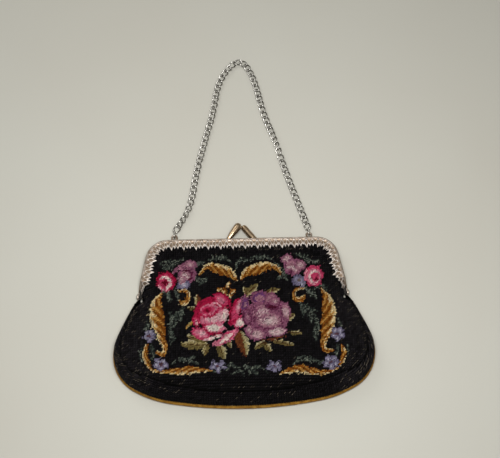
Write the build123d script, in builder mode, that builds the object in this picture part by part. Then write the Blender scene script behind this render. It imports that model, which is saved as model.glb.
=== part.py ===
from build123d import *
import math
import os

os.makedirs("parts", exist_ok=True)

# A needlepoint purse on a hinged metal frame, lying on its back. X runs to its right, Y towards
# the chain and Z up out of the front panel. The hinge line of the frame is at y = 0, and the
# back of the purse lies on z = 0.

# the cloth body
bag_width = 221
bag_drop = 96.9
haunch_radius = 95
bend_radius = 35
bottom_turn = 9.4
haunch_turn = 20
bend_turn = 82.4
shoulder_drop = 9
pinch_drop = 3.6
belly_height = 33
cloth = 1.6
lining = 0.6
sewing_gap = 0.15
lining_top = 27
gusset_top = -6
press = 1.1
press_width = 11.5
rail_sag = 0.2

# the frame
frame_span = 183
frame_rise = 50
frame_depth = 13.5
arm_lean = 10.15
corner_radius = 20
wall = 1
plate = 0.9
flange = 2.6
rim_round = 0.8
parting = 4
parting_gap = 0.3
arm_taper = 12
taper_start = 3.8
strip = 0.8
strip_lap = 1.6
band_width = 8
tooth = 2.1
small_tooth = 1.1
tooth_width = 2.5
motif_pitch = 10.8
eyelet_radius = 1.15
ear_radius = 3.1
ear = 1.2
ear_gap = 0.8
ear_reach = 9
rivet_radius = 1.1
rivet_head = 2
head_height = 0.6
running = 0.05
cord_radius = 0.8
cord_inset = 2.2
cloth_inset = 4.1

# the clasp
ball_radius = 2.8
ball_rise = 13.2
ball_spread = 8.2
ball_stagger = 4.1
back_ball_height = 2.95
arm_foot_spread = 26.6
arm_base_radius = 1.3
arm_neck_radius = 1.9
foot_length = 5
foot_height = 1.7
foot = 0.8
clasp_shift = 0.8
ball_sides = 12
ball_turns = (45, 70, 95, 125, 155)

# the chain
lug_edge = 5
lug_height = 3.2
lug_radius = 2.2
lug_wire = 0.85
lug_reach = 4.8
stem_width = 2.4
lug_sides = 6
lug_corners = 12
link_wire = 0.6
link_length = 8
link_width = 5.1
link_twist = 1.1
link_sides = 4
pierce_sides = 4
link_corners = 8
link_pitch = 6.019
end_link_bend = 2.05
end_link_length = 2.6
left_hook = 2.45
left_link_in = 2.1
right_hook = 1.9
right_link_in = 1.1
chain_reach = 180
chain_level = 1.85
sink_share = 0.06

half_span = frame_span / 2
half_width = bag_width / 2
arm_top = half_span - arm_lean
overrun = 2 * cloth

# the bottom arc is as flat as the width of the bag asks, with the haunch and the bend as they are
lower_turn = math.radians(bottom_turn + haunch_turn)
haunch_reach = bend_radius + (haunch_radius - bend_radius) * math.sin(lower_turn)
bottom_radius = haunch_radius + (half_width - haunch_reach) / math.sin(math.radians(bottom_turn))

# the lugs stand on the straight of the top rail, just in from where its corners start
corner_turn = math.pi / 2 - math.atan2(arm_lean, frame_rise)
rail_half = arm_top - corner_radius * math.tan(corner_turn / 2)
lug_span = 2 * (rail_half - lug_edge)
lug_centre = frame_rise + lug_reach
crown = lug_centre + lug_radius

# the cloth lies this high under the strip of the frame
seat = frame_depth - plate - strip - parting_gap

# the bulge of the gusset: height and how far in from the full outline, as shares of the belly height
level_shares = ((0, 0.06), (0.067, -0.018), (0.167, 0.018), (0.394, 0.05), (0.606, 0.19), (0.879, 0.4), (1.33, 0.85))

# the side of the bag comes up to a shoulder below the hinge: its place between the pinch and
# the full width, and how much of an outline's inset it follows
shoulder_share = 0.307
follow_share = 0.3

# the stuffed front below the hinge: station along Y as a share of the drop, then the height in
# the middle and at the full width as shares of the belly height
crown_shares = (
    (-0.05, 0.67, 0.18),
    (-0.4, 0.91, 0.46),
    (-0.76, 0.98, 0.56),
    (-1.06, 0.44, 0.3),
)

# the front within the frame is flat under the top rail, from these shares of the frame's rise,
# and swells by this share of the belly height where the arms begin to taper
rail_shares = (1.05, 0.79)
swell_share = 0.165

# how much of the front's rise the loose lining follows a quarter of the way in
fold_share = 0.72

# the laid-out chain between its ends: shares of half the lug span and of its reach above the lugs
chain_shares = (
    (-0.8, 0.134),
    (-0.7, 0.289),
    (-0.56, 0.5),
    (-0.38, 0.75),
    (-0.25, 0.912),
    (0.03, 1),
    (0.24, 0.895),
    (0.36, 0.723),
    (0.55, 0.516),
    (0.71, 0.328),
    (0.88, 0.149),
)


def level_inset(share):
    """How far in the outline is at a height, straight between the listed levels."""
    for low, high in zip(level_shares, level_shares[1:]):
        if share <= high[0]:
            break
    part = (share - low[0]) / (high[0] - low[0])
    return (low[1] + part * (high[1] - low[1])) * belly_height


def bag_outline(inset):
    """Draws the cloth outline with its lower part, a run of tangent arcs, pulled in."""
    edge = half_span - cloth_inset
    top = frame_rise - cloth_inset
    lean_top = arm_top - cloth_inset
    with BuildLine() as line:
        upper = FilletPolyline(
            (-edge, -pinch_drop),
            (-lean_top, top),
            (lean_top, top),
            (edge, -pinch_drop),
            radius=corner_radius - cloth_inset,
        )
        shoulder = edge + shoulder_share * (half_width - edge) - follow_share * inset
        for side, end in ((1, upper @ 1), (-1, upper @ 0)):
            base = JernArc((0, inset - bag_drop), (side, 0), bottom_radius - inset, side * bottom_turn)
            haunch = JernArc(base @ 1, base % 1, haunch_radius - inset, side * haunch_turn)
            bend = JernArc(haunch @ 1, haunch % 1, bend_radius - inset, side * bend_turn)
            flank = TangentArc(bend @ 1, (side * shoulder, -shoulder_drop), tangent=bend % 1)
            TangentArc(flank @ 1, end, tangent=flank % 1)
    make_face(line.edges())


def bag_stack(low, high, inset, mode):
    """Stacks the outlines between two heights into a bulging block, pulled in all round."""
    shares = [s[0] for s in level_shares if low < s[0] * belly_height < high]
    layers = []
    for share in (low / belly_height, *shares, high / belly_height):
        with BuildSketch(Plane.XY.offset(share * belly_height)) as layer:
            bag_outline(level_inset(share) + inset)
        layers.append(layer.sketch)
    loft(layers, ruled=True, mode=mode)


def front_stations():
    """The stations of the stuffed front: place along Y, height in the middle and at the reach."""
    stations = [(share * frame_rise, seat, seat - rail_sag) for share in rail_shares]
    middle = seat + swell_share * belly_height
    band_edge = half_span - arm_lean * arm_taper / frame_rise - band_width - tooth
    fall = (middle - seat + parting_gap) * (sheet_reach / band_edge) ** 2
    stations.append((arm_taper, middle, middle - fall))
    for place, middle, side in crown_shares:
        stations.append((place * bag_drop, middle * belly_height, side * belly_height))
    return stations


def front_sheet(lift, drop, mode):
    """Lays a curved sheet along the stuffed front, from lift above its face to drop below it."""
    reach = sheet_reach
    stations = []
    for place, top, edge in front_stations():
        with BuildSketch(Plane.XZ.offset(-place)) as station:
            with BuildLine():
                over = ThreePointArc((-reach, edge + lift), (0, top + lift), (reach, edge + lift))
                under = ThreePointArc((-reach, edge - drop), (0, top - drop), (reach, edge - drop))
                Line(over @ 0, under @ 0)
                Line(over @ 1, under @ 1)
            make_face()
        stations.append(station.sketch)
    loft(stations, ruled=True, mode=mode)


sheet_reach = half_width + overrun
stack_top = level_shares[-1][0] * belly_height
rim_height = level_shares[2][0] * belly_height

with BuildPart() as front_panel:
    front_sheet(0, cloth, Mode.ADD)
    bag_stack(0, stack_top, 0, Mode.INTERSECT)
front_panel.part.label = "front_panel"

with BuildPart() as gusset:
    bag_stack(0, stack_top, 0, Mode.ADD)
    bag_stack(0, stack_top, cloth, Mode.SUBTRACT)
    front_sheet(stack_top, cloth, Mode.SUBTRACT)
    split(bisect_by=Plane.XY.offset(rim_height), keep=Keep.TOP)
    split(bisect_by=Plane.XZ.offset(-gusset_top), keep=Keep.TOP)
gusset.part.label = "gusset"


def frame_path(inset):
    """The U of the frame from the left hinge round the top to the right one, pulled in."""
    return FilletPolyline(
        (-half_span + inset, 0),
        (-arm_top + inset, frame_rise - inset),
        (arm_top - inset, frame_rise - inset),
        (half_span - inset, 0),
        radius=corner_radius - inset,
    )


def frame_band(outer, inner):
    """Draws the band between two insets of the frame's outline."""
    with BuildLine() as line:
        first = frame_path(outer)
        second = frame_path(inner)
        Line(first @ 0, second @ 0)
        Line(first @ 1, second @ 1)
    make_face(line.edges())


with BuildPart() as back_panel:
    bag_stack(0, rim_height, 0, Mode.ADD)
    bag_stack(cloth, rim_height, cloth, Mode.SUBTRACT)
    with BuildSketch(Plane.XY):
        frame_band(-overrun, press_width)
    extrude(amount=press, mode=Mode.SUBTRACT)
back_panel.part.label = "back_panel"

lining_floor = cloth + sewing_gap

with BuildPart() as back_lining:
    with BuildSketch(Plane.XY.offset(lining_floor)):
        bag_outline(level_inset(lining_floor / belly_height) + lining_floor)
    extrude(amount=lining)
back_lining.part.label = "back_lining"

with BuildPart() as front_lining:
    reach = sheet_reach
    folds = []
    for place, top, edge in front_stations():
        low = edge - lining_floor - lining
        high = low + (top - edge) * fold_share
        with BuildSketch(Plane.XZ.offset(-place)) as fold:
            with BuildLine():
                under = Polyline((-reach, low), (-reach / 2, high), (reach / 2, high), (reach, low))
                over = Polyline(
                    (-reach, low + lining),
                    (-reach / 2, high + lining),
                    (reach / 2, high + lining),
                    (reach, low + lining),
                )
                Line(under @ 0, over @ 0)
                Line(under @ 1, over @ 1)
            make_face()
        folds.append(fold.sketch)
    loft(folds, ruled=True)
    with BuildSketch(Plane.XY) as cut:
        bag_outline(level_inset(lining_top / belly_height) + lining_floor)
    extrude(cut.sketch, amount=stack_top, mode=Mode.INTERSECT)
front_lining.part.label = "front_lining"


def on_rim(edge):
    """Whether an edge of the plate is on the outside of the frame."""
    spot = edge @ 0.5
    lean = half_span - arm_lean * spot.Y / frame_rise
    return spot.Y > frame_rise - wall or abs(spot.X) > lean - wall


# the frame halves: a wall, a plate folded in from it, and an ear at each hinge
front_low = parting + parting_gap / 2
back_high = parting - parting_gap / 2

with BuildPart() as front_frame:
    with BuildSketch(Plane.XY.offset(front_low)):
        frame_band(0, wall)
    extrude(amount=frame_depth - front_low)
    with BuildSketch(Plane.XY.offset(frame_depth - plate)):
        frame_band(0, flange)
    extrude(amount=plate)
    chamfer(front_frame.faces().sort_by(Axis.Z)[-1].edges().filter_by(on_rim), rim_round)
    with BuildSketch(Plane.YZ):
        with BuildLine():
            Polyline(
                (-overrun, -overrun),
                (taper_start, -overrun),
                (taper_start, front_low + ear),
                (arm_taper, frame_depth + overrun),
                (-overrun, frame_depth + overrun),
                close=True,
            )
        make_face()
    extrude(amount=frame_span, both=True, mode=Mode.SUBTRACT)
    for side in (-1, 1):
        ear_place = half_span - wall - ear_gap - ear
        with BuildSketch(Plane.YZ.offset(side * (ear_place + ear / 2))):
            with Locations((0, parting)):
                Circle(ear_radius)
            with Locations((ear_reach / 2, parting + ear_radius / 2 + parting_gap / 4)):
                Rectangle(ear_reach, ear_radius - parting_gap / 2)
        extrude(amount=ear / 2, both=True)
    with Locations(Location((0, 0, parting), (0, 90, 0))):
        Cylinder(rivet_radius + running, frame_span, mode=Mode.SUBTRACT)
front_frame.part.label = "front_frame"

with BuildPart() as back_frame:
    with BuildSketch(Plane.XY):
        frame_band(0, wall)
    extrude(amount=back_high)
    with BuildSketch(Plane.XY):
        frame_band(0, flange)
    extrude(amount=plate)
    for side in (-1, 1):
        with BuildSketch(Plane.YZ.offset(side * (half_span - wall / 2))):
            with Locations((0, parting)):
                Circle(ear_radius)
            with Locations((0, parting / 2)):
                Rectangle(2 * ear_radius, parting)
        extrude(amount=wall / 2, both=True)
    with Locations(Location((0, 0, parting), (0, 90, 0))):
        Cylinder(rivet_radius + running / 2, frame_span, mode=Mode.SUBTRACT)
back_frame.part.label = "back_frame"


def gallery():
    """Draws the toothed strip inside the rim, with a tooth group and a piercing at each motif."""
    inner = band_width
    frame_band(flange - strip_lap, inner)
    run = Wire(frame_path_edges(inner))
    middle = Wire(frame_path_edges((flange + inner) / 2))
    count = round(run.length / motif_pitch)
    for k in range(1, count):
        place = k / count
        for shift, size in ((0, tooth), (1 / 3, small_tooth), (2 / 3, small_tooth)):
            at = place + shift / count
            spot = run @ at
            heading = math.degrees(math.atan2((run % at).Y, (run % at).X))
            with Locations(Location((spot.X, spot.Y), heading)):
                Polygon(
                    (-tooth_width / 2, wall / 2),
                    (0, -size),
                    (tooth_width / 2, wall / 2),
                    align=None,
                )
        spot = middle @ place
        with Locations((spot.X, spot.Y)):
            RegularPolygon(eyelet_radius, pierce_sides, mode=Mode.SUBTRACT)


def frame_path_edges(inset):
    """The same U as a list of edges, for places along it."""
    with BuildLine(mode=Mode.PRIVATE) as run:
        frame_path(inset)
    return run.edges()


with BuildPart() as front_gallery:
    with BuildSketch(Plane.XY.offset(frame_depth - plate - strip)):
        gallery()
    extrude(amount=strip)
    split(bisect_by=Plane.XZ.offset(-arm_taper - tooth), keep=Keep.BOTTOM)
front_gallery.part.label = "front_gallery"

with BuildPart() as back_gallery:
    with BuildSketch(Plane.XY.offset(0)):
        frame_band(flange + running, band_width)
    extrude(amount=plate)
    split(bisect_by=Plane.XZ.offset(-arm_taper - tooth), keep=Keep.BOTTOM)
back_gallery.part.label = "back_gallery"

# the paper cord pressed into each frame channel to hold the edge of the cloth
with BuildPart() as front_cord:
    with BuildSketch(Plane.XY.offset(frame_depth - plate - strip - parting_gap - 2 * cord_radius)):
        frame_band(cord_inset - cord_radius, cord_inset + cord_radius)
    extrude(amount=2 * cord_radius)
    split(bisect_by=Plane.XZ.offset(-arm_taper - tooth), keep=Keep.BOTTOM)
front_cord.part.label = "front_packing_cord"

with BuildPart() as back_cord:
    with BuildSketch(Plane.XY.offset(plate + parting_gap)):
        frame_band(cord_inset - cord_radius, cord_inset + cord_radius)
    extrude(amount=2 * cord_radius)
    split(bisect_by=Plane.XZ.offset(-arm_taper - tooth), keep=Keep.BOTTOM)
back_cord.part.label = "back_packing_cord"


def hinge_rivet(side):
    """A rivet through both ears: fixed in the back one, running in the front one."""
    inner = half_span - wall - ear_gap - ear - running
    outer = half_span + running / 2
    with Locations(Location((side * (inner + outer) / 2, 0, parting), (0, 90, 0))):
        Cylinder(rivet_radius, outer - inner + head_height)
    for place in (inner - head_height, outer):
        with BuildSketch(Plane.YZ.offset(side * (place + head_height / 2))) as head:
            with Locations((0, parting)):
                RegularPolygon(rivet_head, ball_sides)
        extrude(head.sketch, amount=head_height / 2, both=True)


with BuildPart() as left_rivet:
    hinge_rivet(-1)
left_rivet.part.label = "left_hinge_rivet"

with BuildPart() as right_rivet:
    hinge_rivet(1)
right_rivet.part.label = "right_hinge_rivet"


def skin(rings, closed):
    """A solid with flat three-cornered faces between rings of corners, capped unless it closes on itself."""
    count = len(rings)
    sides = len(rings[0])
    faces = []
    for k in range(count if closed else count - 1):
        here, there = rings[k], rings[(k + 1) % count]
        for j in range(sides):
            n = (j + 1) % sides
            faces.append(Face(Wire.make_polygon([here[j], there[j], there[n]])))
            faces.append(Face(Wire.make_polygon([here[j], there[n], here[n]])))
    if not closed:
        faces.append(Face(Wire.make_polygon(rings[0])))
        faces.append(Face(Wire.make_polygon(rings[-1])))
    return Solid(Shell(faces))


def wire_ring(centres, wire, sides):
    """A closed ring of flat-sided wire round a list of centres."""
    count = len(centres)
    rings = []
    for k, middle in enumerate(centres):
        ahead = (centres[(k + 1) % count] - centres[k - 1]).normalized()
        out = (middle - ahead * middle.dot(ahead)).normalized()
        over = ahead.cross(out)
        turns = [2 * math.pi * j / sides for j in range(sides)]
        rings.append([middle + (out * math.cos(t) + over * math.sin(t)) * wire for t in turns])
    return skin(rings, True)


def clasp_arm(side, height):
    """A foot on the top rail, a tapered arm leaning to the middle, and the ball at its end."""
    start = Vector(clasp_shift + side * arm_foot_spread / 2, frame_rise + foot + parting_gap, height)
    end = Vector(clasp_shift + side * ball_spread / 2, frame_rise + ball_rise, height)
    with Locations((start.X, frame_rise + foot / 2, height)):
        Box(foot_length, foot, foot_height)
    reach = (end - start).length
    lean = (end - start).normalized()
    up = Vector(0, 0, 1)
    across = lean.cross(up)
    rings = [(0, arm_base_radius), (reach - ball_radius, arm_neck_radius)]
    for turn in ball_turns:
        angle = math.radians(turn)
        rings.append((reach - ball_radius * math.cos(angle), ball_radius * math.sin(angle)))
    corners = []
    for along, radius in rings:
        turns = [2 * math.pi * j / ball_sides for j in range(ball_sides)]
        middle = start + lean * along
        corners.append([middle + (up * math.cos(t) + across * math.sin(t)) * radius for t in turns])
    add(skin(corners, False))


with BuildPart() as front_clasp:
    clasp_arm(-1, back_ball_height + ball_stagger)
front_clasp.part.label = "front_clasp"

with BuildPart() as back_clasp:
    clasp_arm(1, back_ball_height)
back_clasp.part.label = "back_clasp"


def chain_lug(side):
    """An eyelet of faceted wire standing out from the top rail, with a foot against the rail."""
    place = side * lug_span / 2
    turns = [2 * math.pi * k / lug_corners for k in range(lug_corners)]
    circle = [Vector(math.cos(t) * lug_radius, math.sin(t) * lug_radius, 0) for t in turns]
    with Locations((place, lug_centre, lug_height)):
        add(wire_ring(circle, lug_wire, lug_sides))
    with Locations((place, frame_rise + (lug_reach - lug_radius) / 2, lug_height)):
        Box(stem_width, lug_reach - lug_radius, lug_wire)
    with Locations((place, frame_rise + foot / 2, lug_height - foot / 2)):
        Box(foot_length, foot, foot_height - foot)


with BuildPart() as left_lug:
    chain_lug(-1)
left_lug.part.label = "left_chain_lug"

with BuildPart() as right_lug:
    chain_lug(1)
right_lug.part.label = "right_chain_lug"


def curb_corner(k):
    """A corner of the twisted oval of one curb link."""
    t = 2 * math.pi * (k + 1 / 2) / link_corners
    return Vector(math.cos(t) * link_length / 2, math.sin(t) * link_width / 2, math.sin(2 * t) * link_twist)


def oval_corner(k):
    """A corner of the flat oval of an end link, standing on edge."""
    t = 2 * math.pi * (k + 1 / 2) / link_corners
    along = math.copysign(end_link_length / 2, math.cos(t)) + math.cos(t) * end_link_bend
    return Vector(along, 0, math.sin(t) * end_link_bend)


curb_link = wire_ring([curb_corner(k) for k in range(link_corners)], link_wire, link_sides)
end_link = wire_ring([oval_corner(k) for k in range(link_corners)], link_wire, link_sides)

with BuildPart() as left_end_link:
    with Locations(Location((-lug_span / 2, crown + end_link_length / 2, lug_height), (0, 0, 90))):
        add(end_link)
left_end_link.part.label = "left_end_link"

with BuildPart() as right_end_link:
    with Locations(Location((lug_span / 2, crown + end_link_length / 2, lug_height), (0, 0, 90))):
        add(end_link)
right_end_link.part.label = "right_end_link"

# the links of the chain, one after the other along the laid-out line
link_rise = crown + end_link_length + end_link_bend + link_length / 2
chain_places = [(left_link_in - lug_span / 2, link_rise - left_hook)]
chain_places += [(x * lug_span / 2, crown + y * chain_reach) for x, y in chain_shares]
chain_places += [(lug_span / 2 - right_link_in, link_rise - right_hook)]

with BuildLine() as chain_line:
    Spline(*chain_places)
chain_run = chain_line.wires()[0]
link_count = 1 + round(chain_run.length / link_pitch)

places = []
for k in range(link_count):
    share = k / (link_count - 1)
    rise = max(1 - share / sink_share, 1 - (1 - share) / sink_share, 0)
    level = chain_level + rise * (lug_height - chain_level)
    spot = chain_run @ share
    places.append(Plane(origin=(spot.X, spot.Y, level), x_dir=chain_run % share, z_dir=(0, 0, 1)).location)
chain = Compound(label="chain", children=[curb_link.moved(place) for place in places])
print("chain", round(chain_run.length / (link_count - 1), 3), "mm from link to link")

nodes = {
    "front_panel": front_panel.part,
    "gusset": gusset.part,
    "back_panel": back_panel.part,
    "front_lining": front_lining.part,
    "back_lining": back_lining.part,
    "front_frame": front_frame.part,
    "back_frame": back_frame.part,
    "front_gallery": front_gallery.part,
    "back_gallery": back_gallery.part,
    "front_packing_cord": front_cord.part,
    "back_packing_cord": back_cord.part,
    "left_hinge_rivet": left_rivet.part,
    "right_hinge_rivet": right_rivet.part,
    "front_clasp": front_clasp.part,
    "back_clasp": back_clasp.part,
    "left_chain_lug": left_lug.part,
    "right_chain_lug": right_lug.part,
    "left_end_link": left_end_link.part,
    "right_end_link": right_end_link.part,
    "chain": chain,
}
for name, shape in nodes.items():
    export_step(shape, "parts/" + name + ".step")
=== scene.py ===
# %% [markdown]
# # A needlepoint purse on a metal frame
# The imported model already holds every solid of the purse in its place: cloth body, hinged frame,
# clasp and chain. This lesson dresses it for the picture. Each piece is worked out as a surface
# in numpy, in millimetres, and put where the solid is, so the purse still opens on its hinge and
# the chain still swings.

import bpy
import numpy as np
from mathutils import Matrix


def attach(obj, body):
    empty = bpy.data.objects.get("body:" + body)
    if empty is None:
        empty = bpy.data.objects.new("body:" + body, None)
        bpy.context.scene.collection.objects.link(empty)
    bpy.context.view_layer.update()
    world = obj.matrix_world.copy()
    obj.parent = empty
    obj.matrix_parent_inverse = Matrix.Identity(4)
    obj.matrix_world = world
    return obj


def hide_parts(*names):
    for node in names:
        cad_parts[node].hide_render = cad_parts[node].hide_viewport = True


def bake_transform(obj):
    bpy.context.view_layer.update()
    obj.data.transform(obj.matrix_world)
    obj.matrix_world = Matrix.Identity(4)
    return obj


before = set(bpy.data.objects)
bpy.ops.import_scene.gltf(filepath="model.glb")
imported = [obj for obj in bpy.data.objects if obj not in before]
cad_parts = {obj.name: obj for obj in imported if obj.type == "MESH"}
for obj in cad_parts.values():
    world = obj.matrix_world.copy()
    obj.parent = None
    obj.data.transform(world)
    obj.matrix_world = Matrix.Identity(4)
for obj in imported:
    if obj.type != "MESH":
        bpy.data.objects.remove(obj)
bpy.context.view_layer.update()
mm = 0.001
tau = 2 * np.pi
rng = np.random.default_rng(11)

# %% [markdown]
# ## The camera
# The purse lies on its back and is seen from above and a little from below its bottom edge. One
# pinhole camera is written down as three directions and an eye point. The same numbers also tell
# where a point of the purse falls in the picture, which places the needlework pattern later.

# %% Camera
picture_wide, picture_high = 500, 458
focal = 889.0
elevation, azimuth = np.radians(68.0), np.radians(-1.4)
look_at = np.array((7.6, 63.2, 0.0))
eye_distance = 800.0
sensor = 36.0

to_eye = np.array((
    np.sin(azimuth) * np.cos(elevation),
    -np.cos(azimuth) * np.cos(elevation),
    np.sin(elevation),
))
to_right = np.array((np.cos(azimuth), np.sin(azimuth), 0.0))
to_top = np.cross(to_eye, to_right)
eye = look_at + eye_distance * to_eye


def in_picture(points):
    """Where points fall in the picture: focal length times their way right and up, over their depth."""
    away = points - eye
    depth = -away @ to_eye
    return (
        picture_wide / 2 + focal * (away @ to_right) / depth,
        picture_high / 2 - focal * (away @ to_top) / depth,
    )


camera_data = bpy.data.cameras.new("camera")
camera_data.sensor_width = sensor
camera_data.lens = sensor * focal / picture_wide
camera = bpy.data.objects.new("camera", camera_data)
bpy.context.scene.collection.objects.link(camera)
placed = np.eye(4)
placed[:3, :3] = np.column_stack((to_right, to_top, to_eye))
placed[:3, 3] = eye * mm
camera.matrix_world = Matrix(placed.tolist())
bpy.context.scene.camera = camera
bpy.context.scene.view_settings.view_transform = "Standard"
print("camera", round(camera_data.lens, 1), "mm lens,", round(eye_distance * mm, 2), "m away")

# %% [markdown]
# ## Meshes from arrays
# A surface is a grid of points and the four-cornered faces between its rows and columns. These
# helpers number the corners of a grid and hand whole arrays to Blender at once, which is fast
# even for thousands of stitches. A closed shape whose volume comes out negative is inside out,
# and is turned.


# %% Faces of grids and closed shapes
def unit(v):
    """Directions of length one."""
    return v / np.linalg.norm(v, axis=-1, keepdims=True)


def grid_faces(rows, columns, wrap_rows=False, wrap_columns=False):
    """Corners of the quads of a rows by columns grid: (r, c), (r, c+1), (r+1, c+1), (r+1, c)."""
    r = np.arange(rows if wrap_rows else rows - 1)[:, None]
    c = np.arange(columns if wrap_columns else columns - 1)[None, :]
    r2, c2 = (r + 1) % rows, (c + 1) % columns
    corners = np.stack((r * columns + c, r * columns + c2, r2 * columns + c2, r2 * columns + c), -1)
    return corners.reshape(-1, 4)


def fan_faces(centre, ring):
    """Triangles from one point to each side of a closed ring of points."""
    ring = np.asarray(ring)
    return np.column_stack((np.full(len(ring), centre), ring, np.roll(ring, -1)))


def volume(points, faces):
    """Signed volume: a sixth of the sum of a . (b x c) over the triangles of each face's fan."""
    total = 0.0
    for corners in faces:
        p = points[corners]
        for k in range(1, corners.shape[1] - 1):
            total += np.einsum("ij,ij->", p[:, 0], np.cross(p[:, k], p[:, k + 1])) / 6
    return total


def outward(points, faces):
    """Faces of a closed shape, turned round where its volume comes out negative."""
    return [corners[:, ::-1] for corners in faces] if volume(points, faces) < 0 else faces


def joined(shapes):
    """Points and faces of several closed shapes as one, each of them outside out."""
    faces, start = [], 0
    for points, shape_faces in shapes:
        faces += [corners + start for corners in outward(points, shape_faces)]
        start += len(points)
    return np.vstack([points for points, _ in shapes]), faces


def copied(faces, count, size):
    """Faces repeated over count copies of a shape that has size points."""
    first = (np.arange(count) * size)[:, None, None]
    return (faces[None] + first).reshape(-1, faces.shape[1])


def circle(count, start=0.0):
    """Angles of points spread evenly round a circle; start is in steps."""
    return tau * (np.arange(count) + start) / count


# %% Mesh objects
def put_mesh(name, points, faces, finish, closed=True, smooth=True):
    """Makes a mesh object from millimetre points and a list of face arrays, outside out if closed."""
    points = points.reshape(-1, 3)
    if closed:
        faces = outward(points, faces)
    counts = np.concatenate([np.full(len(c), c.shape[1]) for c in faces])
    corners = np.concatenate([c.ravel() for c in faces])
    mesh = bpy.data.meshes.new(name)
    mesh.vertices.add(len(points))
    mesh.vertices.foreach_set("co", (points * mm).astype(np.float32).ravel())
    mesh.loops.add(len(corners))
    mesh.loops.foreach_set("vertex_index", corners.astype(np.int32))
    mesh.polygons.add(len(counts))
    mesh.polygons.foreach_set("loop_start", (np.cumsum(counts) - counts).astype(np.int32))
    mesh.polygons.foreach_set("use_smooth", np.full(len(counts), smooth))
    mesh.update(calc_edges=True)
    mesh.materials.append(finish)
    piece = bpy.data.objects.new(name, mesh)
    bpy.context.scene.collection.objects.link(piece)
    print("made", name, "with", len(counts), "faces")
    return piece


def add_values(piece, name, values, kind="FLOAT"):
    """Writes one number or one colour per point, for the finish to read."""
    layer = piece.data.attributes.new(name, kind, "POINT")
    layer.data.foreach_set("color" if kind == "FLOAT_COLOR" else "value", values.astype(np.float32).ravel())


def dress(piece, body=None, node=None):
    """Ties a piece to the body it moves with and hides the solid it stands for."""
    if body:
        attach(piece, body)
    if node:
        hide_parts(node)


# %% A smooth line through points
def spline_through(points, count):
    """Natural cubic spline through points, by chord length: solves for second slopes, then samples."""
    h = np.hypot(*np.diff(points, axis=0).T)
    n = len(points)
    system, right_side = np.eye(n), np.zeros((n, 2))
    k = np.arange(1, n - 1)
    system[k, k - 1], system[k, k], system[k, k + 1] = h[k - 1], 2 * (h[k - 1] + h[k]), h[k]
    steps = np.diff(points, axis=0) / h[:, None]
    right_side[1:-1] = 6 * np.diff(steps, axis=0)
    bend = np.linalg.solve(system, right_side)
    at = np.concatenate(((0,), np.cumsum(h)))
    u = np.linspace(0, at[-1], count)
    k = np.clip(np.searchsorted(at, u) - 1, 0, n - 2)
    a, b, w = (at[k + 1] - u)[:, None], (u - at[k])[:, None], h[k][:, None]
    return (
        (bend[k] * a**3 + bend[k + 1] * b**3) / (6 * w)
        + (points[k] / w - bend[k] * w / 6) * a + (points[k + 1] / w - bend[k + 1] * w / 6) * b
    )


# %% [markdown]
# ## Finishes
# Wool, gold cloth, satin and metal are told apart by how they scatter light, so each one has its
# own small set of nodes. Colours are written as they look on screen, 0 to 255, and turned to
# linear light here. Patterns read Object coordinates, so they stay put when the purse moves.


# %% Finish helpers
def linear(*shade):
    """Screen colour 0 to 255 to linear light, by the sRGB curve."""
    s = np.array(shade, float) / 255
    return np.where(s <= 0.04045, s / 12.92, ((s + 0.055) / 1.055) ** 2.4)


def set_inputs(node, values):
    """Puts numbers or colours on a node's inputs, by the inputs' names."""
    for name, value in dict(values).items():
        node.inputs[name].default_value = value


def new_finish(name, shade, rough, values=()):
    """A material with a plain shader, its colour, roughness and other numbers set; and its node tree."""
    finish = bpy.data.materials.new(name)
    finish.use_nodes = True
    tree = finish.node_tree
    shader = tree.nodes["Principled BSDF"]
    set_inputs(shader, {"Base Color": (*linear(*shade), 1), "Roughness": rough})
    set_inputs(shader, values)
    return finish, tree


def add_node(tree, kind, values=()):
    """A new node of a kind, with numbers on its inputs."""
    node = tree.nodes.new("ShaderNode" + kind)
    set_inputs(node, values)
    return node


def drive(tree, socket, name):
    """Links a socket to an input of the shader, by the input's name."""
    tree.links.new(socket, tree.nodes["Principled BSDF"].inputs[name])


def object_noise(tree, scale, detail=2.0, stretch=(1, 1, 1)):
    """Noise on Object coordinates, stretched along the axes; scale is in waves per metre."""
    place = add_node(tree, "TexCoord")
    turn = add_node(tree, "Mapping", {"Scale": stretch})
    noise = add_node(tree, "TexNoise", {"Scale": scale, "Detail": detail})
    tree.links.new(place.outputs["Object"], turn.inputs["Vector"])
    tree.links.new(turn.outputs["Vector"], noise.inputs["Vector"])
    return noise.outputs["Fac"]


def ramp(tree, factor, *stops):
    """A colour ramp of (place, screen colour) stops over a factor socket."""
    node = add_node(tree, "ValToRGB")
    while len(node.color_ramp.elements) < len(stops):
        node.color_ramp.elements.new(1.0)
    for element, (place, shade) in zip(node.color_ramp.elements, stops):
        element.position = place
        element.color = (*linear(*shade), 1)
    tree.links.new(factor, node.inputs["Fac"])
    return node.outputs["Color"]


def blend_colours(tree, first, second, how="MIX"):
    """A node that mixes two colour sockets; its factor starts at 1."""
    node = add_node(tree, "Mix", {"Factor": 1.0})
    node.data_type = "RGBA"
    node.blend_type = how
    tree.links.new(first, node.inputs[6])
    tree.links.new(second, node.inputs[7])
    return node


def add_bump(tree, height, strength, depth):
    """Bump from a height socket; depth is in millimetres."""
    node = add_node(tree, "Bump", {"Strength": strength, "Distance": depth * mm})
    tree.links.new(height, node.inputs["Height"])
    drive(tree, node.outputs["Normal"], "Normal")


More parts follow.
